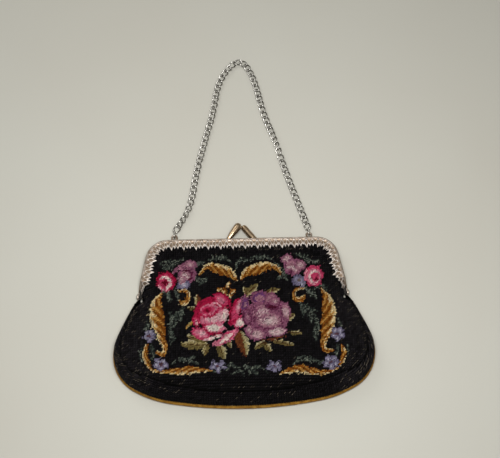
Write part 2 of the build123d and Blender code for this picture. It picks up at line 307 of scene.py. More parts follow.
# %% Wool, canvas, gold cloth and lining
wool, tree = new_finish("wool thread", (20, 19, 21), 0.9, {"Specular IOR Level": 0.06})
thread = add_node(tree, "Attribute")
thread.attribute_name = "thread"
worn = ramp(tree, object_noise(tree, 1500, 3), (0.3, (190, 190, 190)), (0.7, (255, 255, 255)))
drive(tree, blend_colours(tree, thread.outputs["Color"], worn, "MULTIPLY").outputs[2], "Base Color")
add_bump(tree, object_noise(tree, 3500, 2), 0.5, 0.15)

# The canvas is nearly black: its own dark colour, made darker still as painted shade for the sunken seam
# crease, where it shows.
canvas, tree = new_finish("canvas under the stitches", (34, 30, 26), 0.9, {"Specular IOR Level": 0.05})
shade = ramp(tree, object_noise(tree, 420, 3), (0.42, (3, 3, 3)), (0.62, (8, 7, 6)))
drive(tree, shade, "Base Color")
add_bump(tree, object_noise(tree, 1400, 2), 0.6, 0.3)

gold_cloth, tree = new_finish("old gold cloth", (138, 100, 40), 0.7, {"Specular IOR Level": 0.2})
mottle = object_noise(tree, 260, 4)
shade = ramp(tree, mottle, (0.3, (118, 80, 18)), (0.5, (150, 106, 30)), (0.72, (182, 138, 56)))
drive(tree, shade, "Base Color")
rib = add_node(tree, "TexWave", {"Scale": 420, "Distortion": 1.5})
rib.bands_direction = "Z"
tree.links.new(add_node(tree, "TexCoord").outputs["Object"], rib.inputs["Vector"])
add_bump(tree, rib.outputs["Fac"], 0.6, 0.35)

satin, tree = new_finish("lining satin", (58, 52, 56), 0.42, {"Sheen Weight": 0.3})
shade = ramp(tree, object_noise(tree, 60, 4, (1, 3, 1)), (0.3, (44, 40, 44)), (0.7, (74, 67, 71)))
drive(tree, shade, "Base Color")
add_bump(tree, object_noise(tree, 1800, 2, (0.2, 1, 1)), 0.3, 0.1)

paper, tree = new_finish("packing cord", (176, 158, 128), 0.9)
shade = ramp(tree, object_noise(tree, 700, 2), (0.3, (150, 132, 102)), (0.7, (190, 172, 140)))
drive(tree, shade, "Base Color")
print("cloth finishes:", ", ".join(finish.name for finish in (wool, canvas, gold_cloth, satin, paper)))

# %% Metals
mottle_share = 0.7
gloss_below, gloss_above = 0.08, 0.14


def new_metal(name, bright, tarnish_and_shade, rough, metal=1.0):
    """Plated metal: bright with a mottle of tarnish, and darker by the piece's recess values, which on most
    pieces paint shade.
    """
    finish, tree = new_finish(name, bright, rough, {"Metallic": metal})
    depth = add_node(tree, "Attribute")
    depth.attribute_name = "recess"
    spread = add_node(tree, "Math")
    spread.operation = "MULTIPLY_ADD"
    tree.links.new(object_noise(tree, 340, 4), spread.inputs[0])
    spread.inputs[1].default_value = mottle_share
    tree.links.new(depth.outputs["Fac"], spread.inputs[2])
    # Tarnish mottle and painted shade from the recess values both darken towards the second colour.
    drive(tree, ramp(tree, spread.outputs[0], (0.3, bright), (0.95, tarnish_and_shade)), "Base Color")
    gloss = add_node(tree, "MapRange", {"To Min": rough - gloss_below, "To Max": rough + gloss_above})
    tree.links.new(object_noise(tree, 900, 3), gloss.inputs["Value"])
    drive(tree, gloss.outputs["Result"], "Roughness")
    print("made", name)
    return finish


frame_silver = new_metal("frame plating", (232, 222, 213), (126, 108, 90), 0.32, 0.62)
back_silver = new_metal("worn back plating", (186, 174, 160), (116, 98, 80), 0.36, 0.62)
# The hinge plating is nearly black: painted shade over the hinge ears and rivets.
hinge_shade_plating = new_metal("hinge plating dark with painted shade", (44, 40, 36), (28, 24, 21), 0.7, 0.4)
clasp_silver = new_metal("clasp plating", (188, 164, 134), (84, 62, 44), 0.22)
chain_silver = new_metal("chain plating", (196, 193, 187), (96, 92, 86), 0.24)

# %% [markdown]
# ## Floor and light
# The purse lies on a plain pale surface. The main lamp stands close above it, near the camera, so
# there is hardly a shadow and the floor grows darker towards the corners. Far away, out of the
# picture, the floor is paler, so that it meets the background when it is seen from low down. The
# sky is pale at the horizon, dim half-way up and bright above, which gives round metal dark edges.

# %% Floor
pale_from, pale_full = 0.45, 1.5
floor_reach, floor_level = 9000.0, -0.3
floor_finish, tree = new_finish("pale tabletop", (192, 190, 180), 0.8)
mottle = object_noise(tree, 3, 3)
near_shade = ramp(tree, mottle, (0.3, (190, 187, 176)), (0.7, (195, 194, 184)))
far_shade = ramp(tree, mottle, (0.3, (250, 248, 240)), (0.7, (253, 252, 246)))
from_middle = add_node(tree, "VectorMath")
from_middle.operation = "LENGTH"
tree.links.new(add_node(tree, "TexCoord").outputs["Object"], from_middle.inputs[0])
far_share = add_node(tree, "MapRange", {"From Min": pale_from, "From Max": pale_full})
tree.links.new(from_middle.outputs["Value"], far_share.inputs["Value"])
floor_shade = blend_colours(tree, near_shade, far_shade)
tree.links.new(far_share.outputs["Result"], floor_shade.inputs["Factor"])
drive(tree, floor_shade.outputs[2], "Base Color")
floor_points = floor_reach * np.array(((-1, -1, 0), (1, -1, 0), (1, 1, 0), (-1, 1, 0)), float)
floor_points[:, 2] = floor_level
floor_faces = [np.array(((0, 1, 2, 3),))]
floor = put_mesh("tabletop", floor_points, floor_faces, floor_finish, closed=False, smooth=False)

# %% Sky
sky_stops = (
    (0.0, (232, 230, 222)), (0.2, (222, 220, 212)), (0.4, (122, 120, 114)),
    (0.55, (126, 124, 118)), (0.8, (248, 246, 240)), (1.0, (255, 254, 250)),
)
sky_strength = 0.45
world = bpy.data.worlds.new("soft room")
bpy.context.scene.world = world
world.use_nodes = True
tree = world.node_tree
sky_parts = add_node(tree, "SeparateXYZ")
tree.links.new(add_node(tree, "TexCoord").outputs["Generated"], sky_parts.inputs["Vector"])
sky = tree.nodes["Background"]
tree.links.new(ramp(tree, sky_parts.outputs["Z"], *sky_stops), sky.inputs["Color"])
sky.inputs["Strength"].default_value = sky_strength
print("sky of", len(sky_stops), "shades made")


# %% Lamps
def soft_lamp(name, place, aim, size, watts):
    """A square lamp turned so that its -Z axis points from its place to its aim."""
    data = bpy.data.lights.new(name, "AREA")
    data.size = size
    data.energy = watts
    lamp = bpy.data.objects.new(name, data)
    bpy.context.scene.collection.objects.link(lamp)
    out = unit(np.array(place, float) - np.array(aim, float))
    side = unit(np.cross((0, 1, 0), out))
    pose = np.eye(4)
    pose[:3, :3] = np.column_stack((side, np.cross(out, side), out))
    pose[:3, 3] = place
    lamp.matrix_world = Matrix(pose.tolist())


soft_lamp("lamp above", (0.01, -0.09, 0.58), (0.0, 0.05, 0.0), 0.2, 2.9)
soft_lamp("window", (-0.6, 0.7, 0.9), (0.0, 0.1, 0.0), 0.7, 3.0)
print("two lamps made")

# %% [markdown]
# ## The shape of the cloth body
# Seen from above, the lower edge of the bag is a run of arcs: a wide one along the bottom, a
# tighter haunch, the round of the corner, and a last arc up to the hinge. Seen from the side the
# gusset bulges, and the stuffed front is a shallow dome. The two meet in a sunken seam.

# %% Sizes of the cloth and the frame
half_span, frame_rise, arm_lean, corner = 91.5, 50.0, 10.15, 20.0
frame_depth, parting = 13.5, 4.15
taper_low, taper_high, ear_top = 3.8, 12.0, 5.35
narrow_below, narrowest = 14.0, 0.45
bag_drop, belly = 96.9, 33.0
arc_radii = np.array((376.9, 95.0, 35.0))
arc_turns = np.radians((9.4, 20.0, 82.4))
cloth_inset = 4.1
shoulder, shoulder_follow = np.array((94.5, -9.0)), 0.3
pinch = np.array((half_span - cloth_inset, -3.6))
front_reach = 113.7
rim_height, gusset_top = 5.5, -4.0
level_shares = np.array(
    ((0, 0.06), (0.067, -0.018), (0.167, 0.018), (0.394, 0.05), (0.606, 0.19), (0.879, 0.4), (1.33, 0.85))
)
front_stations = np.array((
    (-102.7, 14.5, 9.9), (-89.5, 21.8, 13.6), (-73.6, 32.3, 18.5), (-38.8, 30.0, 15.2),
    (-4.8, 22.1, 5.9), (12.0, 16.9, 5.0), (39.5, 11.5, 11.3), (52.5, 11.5, 11.3),
))
print("frame", 2 * half_span, "mm wide at the hinges")


# %% Slopes of the frame and of the stuffed front
def frame_top(y):
    """Height of the front half: full above the taper, then a straight slope down to the ear."""
    slope = ear_top + (y - taper_low) / (taper_high - taper_low) * (frame_depth - ear_top)
    return np.clip(slope, ear_top, frame_depth)


def strip_narrow(y):
    """Width of the toothed strip as a share of its full width: less towards the hinges."""
    return np.clip(y / narrow_below, narrowest, 1)


def smooth_between(x, xs, ys):
    """Cubic through the points (xs, ys). The slope at a point is the harmonic mean of the slopes beside
    it, or 0 at a peak."""
    x, rise = np.asarray(x, float), np.diff(ys) / np.diff(xs)
    before, after = rise[:-1], rise[1:]
    mean = 2 * before * after / np.where(before + after == 0, 1, before + after)
    slope = np.concatenate((rise[:1], np.where(before * after > 0, mean, 0.0), rise[-1:]))
    k = np.clip(np.searchsorted(xs, x) - 1, 0, len(xs) - 2)
    step = xs[k + 1] - xs[k]
    t = np.clip((x - xs[k]) / step, 0, 1)
    return (
        (1 + 2 * t) * (1 - t) ** 2 * ys[k] + t * (1 - t) ** 2 * step * slope[k]
        + t * t * (3 - 2 * t) * ys[k + 1] + t * t * (t - 1) * step * slope[k + 1]
    )


def level_inset(z):
    """How far in from the full outline the gusset is at a height."""
    return smooth_between(z, level_shares[:, 0] * belly, level_shares[:, 1] * belly)


def front_height(x, y):
    """Height of the stuffed front: middle height less a share that grows with the square of x."""
    middle = smooth_between(y, front_stations[:, 0], front_stations[:, 1])
    side = smooth_between(y, front_stations[:, 0], front_stations[:, 2])
    return middle - (middle - side) * (x / front_reach) ** 2


# %% The lower edge and the seam
def lower_edge(t, inset):
    """Point t of the lower outline, pulled in by inset. |t| runs 0 to 3 over three tangent arcs from
    the middle of the bottom, 3 to 4 up the flank to the shoulder and 4 to 5 round it to the hinge.
    A part p of an arc that turns by 2b has the chord sin(pb) / sin(b) of the whole, turned by pb."""
    t, inset = np.broadcast_arrays(np.asarray(t, float), np.asarray(inset, float))
    side, along = np.sign(t), np.abs(t)
    turn_at = np.concatenate(((0,), np.cumsum(arc_turns)))
    centre = np.array((0.0, arc_radii[0] - bag_drop))
    x, y = np.zeros(t.shape), np.full(t.shape, -bag_drop) + inset
    for k, radius in enumerate(arc_radii):
        turn = turn_at[k] + np.clip(along - k, 0, 1) * arc_turns[k]
        on = along >= k
        x = np.where(on, centre[0] + (radius - inset) * np.sin(turn), x)
        y = np.where(on, centre[1] - (radius - inset) * np.cos(turn), y)
        if k + 1 < len(arc_radii):
            lean = np.array((np.sin(turn_at[k + 1]), -np.cos(turn_at[k + 1])))
            centre = centre + (radius - arc_radii[k + 1]) * lean
    turn = np.full(t.shape, turn_at[-1])
    for k, (aim_x, aim_y) in enumerate(((shoulder[0] - shoulder_follow * inset, shoulder[1]), pinch), 3):
        gap_x, gap_y = aim_x - x, aim_y - y
        bend = np.angle(np.exp(1j * (np.arctan2(gap_y, gap_x) - turn)))
        bend = np.where(np.abs(bend) < 1e-6, 1e-6, bend)
        part = np.clip(along - k, 0, 1)
        chord = np.hypot(gap_x, gap_y) * np.sin(part * bend) / np.sin(bend)
        on = along > k
        x = np.where(on, x + chord * np.cos(turn + part * bend), x)
        y = np.where(on, y + chord * np.sin(turn + part * bend), y)
        turn = turn + 2 * part * bend
    return np.where(side < 0, -x, x), y


def seam_height(t):
    """Height at which the gusset meets the front: bisects front height less height."""
    low, high = np.zeros_like(t), np.full_like(t, belly)
    for _ in range(40):
        middle = (low + high) / 2
        x, y = lower_edge(t, level_inset(middle))
        above = front_height(x, y) > middle
        low, high = np.where(above, middle, low), np.where(above, high, middle)
    return low


edge_x, _ = lower_edge(np.linspace(-5, 5, 401), 0.0)
seam_middle = float(seam_height(np.zeros(1))[0])
print("bag", round(np.ptp(edge_x), 1), "mm wide, seam", round(seam_middle, 1), "mm up at the bottom")


# %% The line of the frame
def frame_run(count):
    """Points and inward normals, evenly spaced, on the U of the frame: arm, corner, rail, corner, arm."""
    foot, top = np.array((-half_span, 0.0)), np.array((arm_lean - half_span, frame_rise))
    turn = np.pi / 2 - np.arctan2(arm_lean, frame_rise)
    cut = corner * np.tan(turn / 2)
    centre = top + np.array((cut, -corner))
    angles = np.linspace(np.pi / 2 + turn, np.pi / 2, 60)
    left = np.vstack((foot, centre + corner * np.column_stack((np.cos(angles), np.sin(angles)))))
    run = np.vstack((left, (left * (-1, 1))[::-1]))
    reach = np.concatenate(((0,), np.cumsum(np.hypot(*np.diff(run, axis=0).T))))
    place = np.linspace(0, reach[-1], count)
    x, y = np.interp(place, reach, run[:, 0]), np.interp(place, reach, run[:, 1])
    dx, dy = np.gradient(x), np.gradient(y)
    length = np.hypot(dx, dy)
    return x, y, dy / length, -dx / length, place


rail_x, rail_y, in_x, in_y, rail_at = frame_run(700)
print("frame run", round(rail_at[-1], 1), "mm")

# %% [markdown]
# ## Front, back and gusset cloth
# Under the stitches there is canvas, and the back is a plain old-gold cloth that shows as a thin
# line round the bottom edge. Front and back are rings that shrink from their edge to a point in
# the middle, so the edge stays smooth all round. The gusset is a strip between rim and seam.

# %% The edge of the front panel, all round
seam_dip, seam_width = 3.0, 2.4
ease_below, ease_over = 7.0, 4.0
rail_pick = slice(4, -4, 6)
lower_t = np.linspace(5, -5, 341)
lower_x, lower_y = lower_edge(lower_t, level_inset(seam_height(lower_t)))
top_inset = cloth_inset - np.clip((ease_below - rail_y) / ease_over, 0, 1)
top_x = (rail_x + top_inset * in_x)[rail_pick]
top_y = (rail_y + top_inset * in_y)[rail_pick]
loop_x, loop_y = np.concatenate((lower_x, top_x)), np.concatenate((lower_y, top_y))
on_seam = np.arange(len(loop_x)) < len(lower_x)
heart = np.array((0.0, -25.0))
print("edge of the front panel:", len(loop_x), "points")


# %% Sheets inside an edge
def rings(count, edge_x, edge_y, size=1.0):
    """Points of rings that shrink evenly from a share of a closed edge to the heart, innermost first."""
    share = size * np.linspace(0, 1, count + 1)[1:, None]
    return heart[0] + share * (edge_x - heart[0]), heart[1] + share * (edge_y - heart[1])


def filled(count, edge_x, edge_y, size=1.0):
    """The points of such rings in one row, with the heart as the last."""
    x, y = rings(count, edge_x, edge_y, size)
    return np.append(x, heart[0]), np.append(y, heart[1])


def ring_faces(count, width):
    """Quads between rings and triangles in the middle, where the last point is the heart."""
    return [grid_faces(count, width, wrap_columns=True), fan_faces(count * width, np.arange(width)[::-1])]


# %% Distances from the seam and the frame
def nearest(x, y, line):
    """Distance of points from the nearest of the points of a line."""
    flat = np.column_stack((np.ravel(x), np.ravel(y)))
    parts = [np.sqrt(((p[:, None] - line) ** 2).sum(-1).min(1)) for p in np.array_split(flat, 40)]
    return np.concatenate(parts).reshape(np.shape(x))


def seam_gap(x, y):
    """Distance of points in the panel from the lower seam."""
    return nearest(x, y, np.column_stack((lower_x, lower_y)))


def frame_gap(x, y):
    """Distance of points in the panel from the outer line of the frame."""
    return nearest(x, y, np.column_stack((rail_x, rail_y))[::2])


# %% Height of the stuffed front
hold_least, hold_depth, hold_slope, hold_from = 7.0, 1.7, 0.9, 5.0
under_depth, under_from, under_width = 0.6, 7.0, 3.5


def panel_height(x, y):
    """Front height, sunk towards the seam and under the frame by bells of the distance to them, and
    held down beside the arms of the frame, where the cloth is gathered to the hinge."""
    gap = frame_gap(x, y)
    held = np.maximum(frame_top(y), hold_least) - hold_depth + hold_slope * np.clip(gap - hold_from, 0, None)
    sunk = seam_dip * np.exp(-((seam_gap(x, y) / seam_width) ** 2))
    under = under_depth * np.exp(-((np.clip(gap - under_from, 0, None) / under_width) ** 2))
    return np.minimum(front_height(x, y), held) - sunk - under


def panel_sheet(name, count, size, drop, finish):
    """A sheet under the stuffed front: rings out to a share of its edge, lowered by drop."""
    x, y = filled(count, loop_x, loop_y, size)
    points = np.column_stack((x, y, panel_height(x, y) - drop))
    return put_mesh(name, points, ring_faces(count, len(loop_x)), finish, closed=False)


# %% Front canvas
def thicken(piece, depth):
    """A wall of even thickness behind the face."""
    wall = piece.modifiers.new("wall", "SOLIDIFY")
    wall.thickness = depth * mm
    wall.offset = -1.0


def follow_frame(piece):
    """Bakes the placement of the cloth into its points; it is tied to no body."""
    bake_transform(piece)


front_canvas = panel_sheet("front_canvas", 40, 1.0, 0.35, canvas)
thicken(front_canvas, 0.9)
follow_frame(front_canvas)
dress(front_canvas)

# %% Gusset strip
fade_over, fade_least, seam_lower = 0.9, 0.12, 0.4
gusset_t = np.linspace(-5, 5, 441)
gusset_t = gusset_t[lower_edge(gusset_t, 0.0)[1] < gusset_top]
gusset_seam = seam_height(gusset_t)


def rim_fade(t):
    """Height of the gold rim as a share of its full height: it runs out towards the hinge."""
    return np.clip((5 - np.abs(t)) / fade_over, fade_least, 1)


def gusset_point(t, share):
    """Point of the gusset: share of the way up from the rim to the seam, sunk towards the seam."""
    low, top = rim_height * rim_fade(t), np.interp(t, gusset_t, gusset_seam)
    z = low + share * (top - low)
    sunk = seam_dip * np.exp(-(((1 - share) * (top - low) / seam_width) ** 2))
    x, y = lower_edge(t, level_inset(z) + sunk)
    return np.stack((x, y, z - seam_lower * sunk), -1)


gusset_points = gusset_point(gusset_t[None, :], np.linspace(0, 1, 25)[:, None])
gusset_faces = [grid_faces(*gusset_points.shape[:2])]
gusset_canvas = put_mesh("gusset_canvas", gusset_points, gusset_faces, canvas, closed=False)
thicken(gusset_canvas, 0.9)
dress(gusset_canvas, "bag")

# %% Back cloth with its rim
back_rings = 30
press, press_width, press_reach = 1.15, 11.5, 1.6
rim_levels = np.array((0.5, 1.4, 2.4, 3.5, 4.6, 5.5, 5.9))[:, None]
rim_bulge = np.array((0.4, 0.6, 0.6, 0.3, -0.3, -0.9, -1.6))[:, None]
swell_least, swell_most, swell_run = 0.35, 1.15, 2.6
rail_lift_share = 0.38
low_x, low_y = lower_edge(lower_t, level_inset(np.zeros_like(lower_t)))
back_x, back_y = np.concatenate((low_x, top_x)), np.concatenate((low_y, top_y))
flat_x, flat_y = rings(back_rings, back_x, back_y)
from_edge = np.hypot(back_x - flat_x, back_y - flat_y)
flat_z = np.where(on_seam, 0.0, press * np.clip(press_reach - from_edge / press_width, 0, 1))
swell = swell_least + np.clip(swell_most - np.abs(lower_t) / swell_run, 0.0, 1.0)
rim_inset = level_inset(np.minimum(rim_levels, rim_height)) - rim_bulge * swell
rim_x, rim_y = lower_edge(lower_t, rim_inset)
rail_rows = np.ones_like(rim_levels)
rim_x, rim_y = np.hstack((rim_x, rail_rows * top_x)), np.hstack((rim_y, rail_rows * top_y))
fade = np.append(rim_fade(lower_t), np.ones_like(top_x))
rim_z = np.where(on_seam, rim_levels * fade, press + rim_levels * rail_lift_share)
back_points = np.column_stack((
    np.append(np.vstack((flat_x, rim_x)), heart[0]),
    np.append(np.vstack((flat_y, rim_y)), heart[1]),
    np.append(np.vstack((flat_z, rim_z)), 0.0),
))
back_faces = [corners[:, ::-1] for corners in ring_faces(back_rings + len(rim_levels), len(back_x))]
back_cloth = put_mesh("back_cloth", back_points, back_faces, gold_cloth, closed=False)
thicken(back_cloth, 0.7)
dress(back_cloth, "bag", "back_panel")

# %% Linings
lining_rings, lining_level, wrinkle_depth = 30, 2.25, 0.22
front_satin = panel_sheet("front_lining_satin", lining_rings, 0.95, 2.4, satin)
thicken(front_satin, 0.4)
follow_frame(front_satin)
dress(front_satin, node="front_lining")

lining_x, lining_y = filled(lining_rings, back_x, back_y, 0.97)
wrinkle = np.sin(lining_x / 9 + 1.3 * np.sin(lining_y / 13)) * np.cos(lining_y / 17 + lining_x / 31)
lining_points = np.column_stack((lining_x, lining_y, lining_level + wrinkle_depth * wrinkle))
lining_faces = ring_faces(lining_rings, len(back_x))
back_satin = put_mesh("back_lining_satin", lining_points, lining_faces, satin, closed=False)
thicken(back_satin, 0.3)
dress(back_satin, "bag", "back_lining")

# %% [markdown]
# ## The needlework pattern
# The pattern is painted in wool: roses, leaves, gold scrolls and small lavender flowers on black.
# Every stitch asks one question: which shape covers the place where it falls in the picture? The
# shapes are simple ones, drawn in picture coordinates: ovals for petals, pointed blades for leaves,
# and brush strokes that swell and taper for the scrolls.

# %% Cells of the canvas
petit = 1.0
canvas_x, canvas_y = (np.arange(-112, 112) + 0.5) * petit, (np.arange(-96, 50) + 0.5) * petit
cell_x, cell_y = np.meshgrid(canvas_x, canvas_y)
cell_shape = cell_x.shape
cell_z = front_height(cell_x, cell_y)
at_x, at_y = in_picture(np.stack((cell_x, cell_y, cell_z), -1))
ground = linear(22, 20, 22)
worked = np.tile(ground, (*cell_shape, 1))
is_ground = np.ones(cell_shape, bool)
ruffle = rng.standard_normal(cell_shape)
chance = rng.random(cell_shape)

red = ((116, 12, 36), (184, 28, 70), (214, 72, 112), (230, 134, 158), (242, 194, 198), (250, 236, 224))
mauve = ((92, 24, 50), (112, 50, 80), (154, 92, 120), (184, 130, 146), (214, 178, 182), (228, 204, 202))
lilac = ((118, 110, 138), (152, 146, 170), (200, 196, 210))
gold = ((124, 66, 16), (162, 96, 30), (208, 156, 78), (244, 221, 168))
khaki = ((92, 64, 36), (128, 112, 66), (174, 158, 106), (210, 198, 154))
sage = ((52, 58, 53), (84, 92, 83), (126, 132, 118))
rust, plum = (118, 64, 36), (118, 66, 118)


def work(mask, shade):
    """Works the cells under a mask in one thread."""
    worked[mask] = linear(*shade)
    is_ground[mask] = False


def tell(what):
    """Prints how many cells are worked so far."""
    print(what, "drawn, cells so far:", int((~is_ground).sum()))


tell("plain canvas")


# %% Ovals and petals
petal_fray, stripe_fray, scroll_fray, tongue_fray, sprig_fray = 0.45, 0.12, 0.1, 0.25, 0.3


def oval(x, y, wide, high, turn=0.0):
    """Distance from the middle of an oval as a share of its edge: below 1 is inside."""
    c, s = np.cos(np.radians(turn)), np.sin(np.radians(turn))
    dx, dy = at_x - x, at_y - y
    return np.hypot((dx * c + dy * s) / wide, (dy * c - dx * s) / high)


def petal(x, y, wide, high, turn, shades, lean=(0.0, 0.0)):
    """Bands of thread from the edge of an oval inwards, each one smaller and moved along by lean."""
    frayed = petal_fray / min(wide, high) * ruffle
    for k, shade in enumerate(shades):
        shrink = 1 - k / len(shades)
        band = oval(x + k * lean[0], y + k * lean[1], wide * shrink, high * shrink, turn)
        work(band + frayed < 1, shade)


# %% Brush strokes
def brush(places, halves):
    """Signed distance of every cell from a smooth line over its half width there, and its share along."""
    places = np.array(places, float)
    line = spline_through(places, 120)
    knots = np.concatenate(((0,), np.cumsum(np.hypot(*np.diff(places, axis=0).T))))
    half = np.interp(np.linspace(0, knots[-1], len(line)), knots, np.broadcast_to(halves, len(places)))
    ahead = unit(np.gradient(line, axis=0))
    across, share = np.full(cell_shape, 9.0), np.zeros(cell_shape)
    margin = 2.0 + half.max()
    low, high = line.min(0) - margin, line.max(0) + margin
    near = (at_x > low[0]) & (at_x < high[0]) & (at_y > low[1]) & (at_y < high[1])
    gap = np.stack((at_x[near], at_y[near]), -1)[:, None] - line
    k = (gap**2).sum(-1).argmin(1)
    gap = gap[np.arange(len(k)), k]
    signed = ahead[k, 0] * gap[:, 1] - ahead[k, 1] * gap[:, 0]
    across[near] = np.sign(signed) * np.hypot(gap[:, 0], gap[:, 1]) / half[k]
    share[near] = k / (len(line) - 1)
    return across, share


def stripe(places, halves, *shades):
    """A brush stroke in one thread, or in several that are mixed at random."""
    across, _ = brush(places, halves)
    for k, shade in enumerate(shades):
        work((np.abs(across) + stripe_fray * ruffle < 1) & (chance * len(shades) >= k), shade)


def scroll(places, halves, lit, beats):
    """A gold leaf: brown with lighter tongues along it, and a pale edge on its lit side."""
    across, share = brush(places, halves)
    inside = np.abs(across) + scroll_fray * ruffle < 1
    tongue = np.sin(tau * (beats * share + 0.9 * across * lit))
    work(inside, gold[1])
    work(inside & (tongue + tongue_fray * ruffle > 0.6), gold[0])
    work(inside & (tongue - tongue_fray * ruffle < -0.55), gold[2])
    work(inside & (across * lit > 0.25 + 0.3 * tongue), gold[2])
    work(inside & (across * lit > 0.55 + 0.3 * tongue), gold[3])


# %% Leaves and sprigs
def leaf(start, end, wide, lit, shades=khaki, teeth=4):
    """A saw-edged blade: half width w sin(pi u)^0.8, cut back by a saw along u; lit on one side."""
    (x1, y1), (x2, y2) = start, end
    reach = np.hypot(x2 - x1, y2 - y1)
    ex, ey = (x2 - x1) / reach, (y2 - y1) / reach
    u = ((at_x - x1) * ex + (at_y - y1) * ey) / reach
    v = (at_y - y1) * ex - (at_x - x1) * ey
    half = wide * np.sin(np.pi * np.clip(u, 0, 1)) ** 0.8 * (1 - 0.45 * ((1 - u) * teeth % 1))
    inside = (np.abs(v) < half) & (u > 0) & (u < 1)
    work(inside, shades[1])
    work(inside & (v * lit > 0), shades[2])
    work(inside & (np.abs(v) > 0.62 * half) & (v * lit > 0), shades[-1])
    work(inside & (np.abs(v) < 0.55) & (u < 0.8), shades[0])


def sprig(*strokes):
    """Grey-green twigs and leaflets, in dim threads mixed at random, with some cells left black."""
    for places, halves in strokes:
        across, _ = brush(places, 1.2 * np.array(halves))
        for k, shade in enumerate(sage):
            work((np.abs(across) + sprig_fray * ruffle < 1) & (chance > 0.2 + 0.3 * k), shade)


# %% Grey-green sprigs
sprig(
    (((182, 309), (176, 316), (171, 326), (170, 341)), (1.2, 2.0, 1.8, 0.8)),
    (((184, 306), (181, 313), (181, 321)), (1.0, 2.2, 0.8)),
    (((176, 318), (174, 325), (168, 331)), (0.8, 2.0, 0.6)),
    (((172, 331), (173, 338), (171, 345)), (0.7, 1.8, 0.6)),
    (((170, 312), (172, 318), (168, 324)), (0.8, 1.6, 0.6)),
    (((300, 303), (303, 309), (303, 316)), (0.8, 2.2, 0.8)),
    (((304, 305), (310, 309), (317, 311)), (0.8, 2.0, 0.6)),
    (((309, 308), (311, 316), (311, 323)), (0.8, 2.2, 0.8)),
    (((312, 312), (317, 322), (318, 334)), (0.8, 1.5, 1.0)),
    (((316, 326), (315, 333), (317, 340)), (0.7, 1.6, 0.6)),
    (((160, 265), (168, 263), (176, 263), (183, 259)), (1.0, 2.8, 2.4, 0.8)),
    (((164, 268), (171, 267)), (1.5, 2.0)), (((196, 277), (201, 281), (206, 279)), (1.0, 2.8, 1.4)),
    (((199, 284), (203, 281)), (0.8, 1.8)), (((162, 292), (168, 294), (170, 300)), (1.2, 2.4, 1.8)),
    (((174, 289), (177, 294), (178, 300)), (1.0, 2.2, 0.8)),
    (((194, 268), (199, 264), (204, 262)), (1.0, 2.2, 1.0)),
    (((208, 260), (216, 258), (224, 258), (231, 262)), (0.8, 1.8, 2.0, 0.8)),
    (((236, 268), (238, 262), (243, 258)), (0.8, 1.8, 1.0)),
    (((244, 262), (252, 259), (262, 257), (272, 259)), (0.8, 1.8, 2.0, 0.8)),
    (((274, 262), (279, 268), (284, 272)), (0.8, 1.8, 1.4)),
    (((296, 254), (303, 256), (309, 262)), (1.0, 2.4, 1.4)),
    (((308, 258), (314, 262), (318, 260)), (0.8, 1.8, 0.8)),
    (((278, 279), (284, 276), (287, 279)), (1.0, 2.2, 1.2)),
    (((305, 288), (311, 293), (316, 298)), (1.2, 2.4, 1.0)),
    (((315, 289), (321, 286), (327, 288)), (0.8, 2.2, 1.0)), (((324, 286), (326, 290)), (1.4, 0.8)),
    (((172, 364), (180, 360), (190, 361), (199, 364)), (0.8, 1.8, 2.0, 0.8)),
    (((186, 359), (193, 357)), (1.0, 1.4)),
    (((226, 370), (232, 365), (238, 368), (243, 374)), (1.0, 2.0, 1.6, 0.8)),
    (((244, 364), (250, 370), (257, 367), (266, 371)), (0.8, 2.0, 1.6, 0.8)),
    (((231, 374), (238, 372)), (0.8, 1.4)), (((250, 374), (258, 373)), (0.8, 1.2)),
    (((293, 365), (300, 360), (309, 359), (319, 362)), (0.8, 1.8, 1.8, 0.8)),
    (((298, 358), (304, 357)), (0.8, 1.4)), (((151, 346), (153, 353), (153, 360)), (1.0, 2.0, 1.0)),
    (((142, 348), (141, 356), (143, 362)), (0.8, 1.2, 0.6)), (((147, 322), (147, 329)), (0.8, 1.8)),
    (((338, 318), (341, 326)), (0.8, 1.8)), (((338, 344), (337, 352), (335, 357)), (1.0, 1.8, 0.8)),
    (((347, 346), (348, 353)), (1.0, 0.8)), (((318, 364), (323, 361)), (1.2, 1.4)),
    (((213, 371), (220, 372)), (1.2, 1.0)),
)
tell("sprigs")

# %% Gold scrolls
scroll(
    ((199.5, 274.5), (203.5, 270), (208.5, 266.5), (214, 267.5), (220, 269.3), (227, 271.5),
     (232.5, 275.5), (236.8, 280.5)),
    (0.9, 1.8, 3.2, 4.1, 4.8, 4.7, 3.3, 0.9), -1, 5,
)
scroll(
    ((281.5, 273.5), (277.5, 269), (272, 266), (265, 266.5), (256, 269), (248, 271.5), (243.5, 276),
     (241.3, 279.5)),
    (0.9, 1.8, 2.6, 4.6, 5.6, 4.6, 2.8, 0.9), 1, 5,
)
scroll(
    ((162.3, 293), (157, 302.5), (156.7, 312.5), (158, 322.5), (160.4, 332.5), (163, 342), (165.5, 348),
     (163, 354), (157, 352.5)),
    (0.8, 5.0, 7.2, 7.1, 4.6, 3.4, 2.4, 2.6, 1.6), 1, 7,
)
scroll(
    ((321, 288.8), (327.2, 298.8), (328.8, 310), (328.5, 322), (326.2, 332.5), (323.4, 341),
     (323.4, 347), (327, 350.5), (332, 350)),
    (0.8, 4.7, 6.8, 7.1, 4.9, 2.8, 2.2, 2.4, 1.4), -1, 7,
)
scroll(((333.5, 329), (329, 335), (325.5, 341)), (0.9, 1.2, 0.9), 1, 2)
scroll(
    ((179, 292.3), (183, 290.6), (187.5, 292), (188.6, 297.5), (186, 302.4), (181.8, 303),
     (179.6, 300.6)),
    (0.8, 1.5, 1.6, 1.9, 2.6, 2.2, 1.0), -1, 3,
)
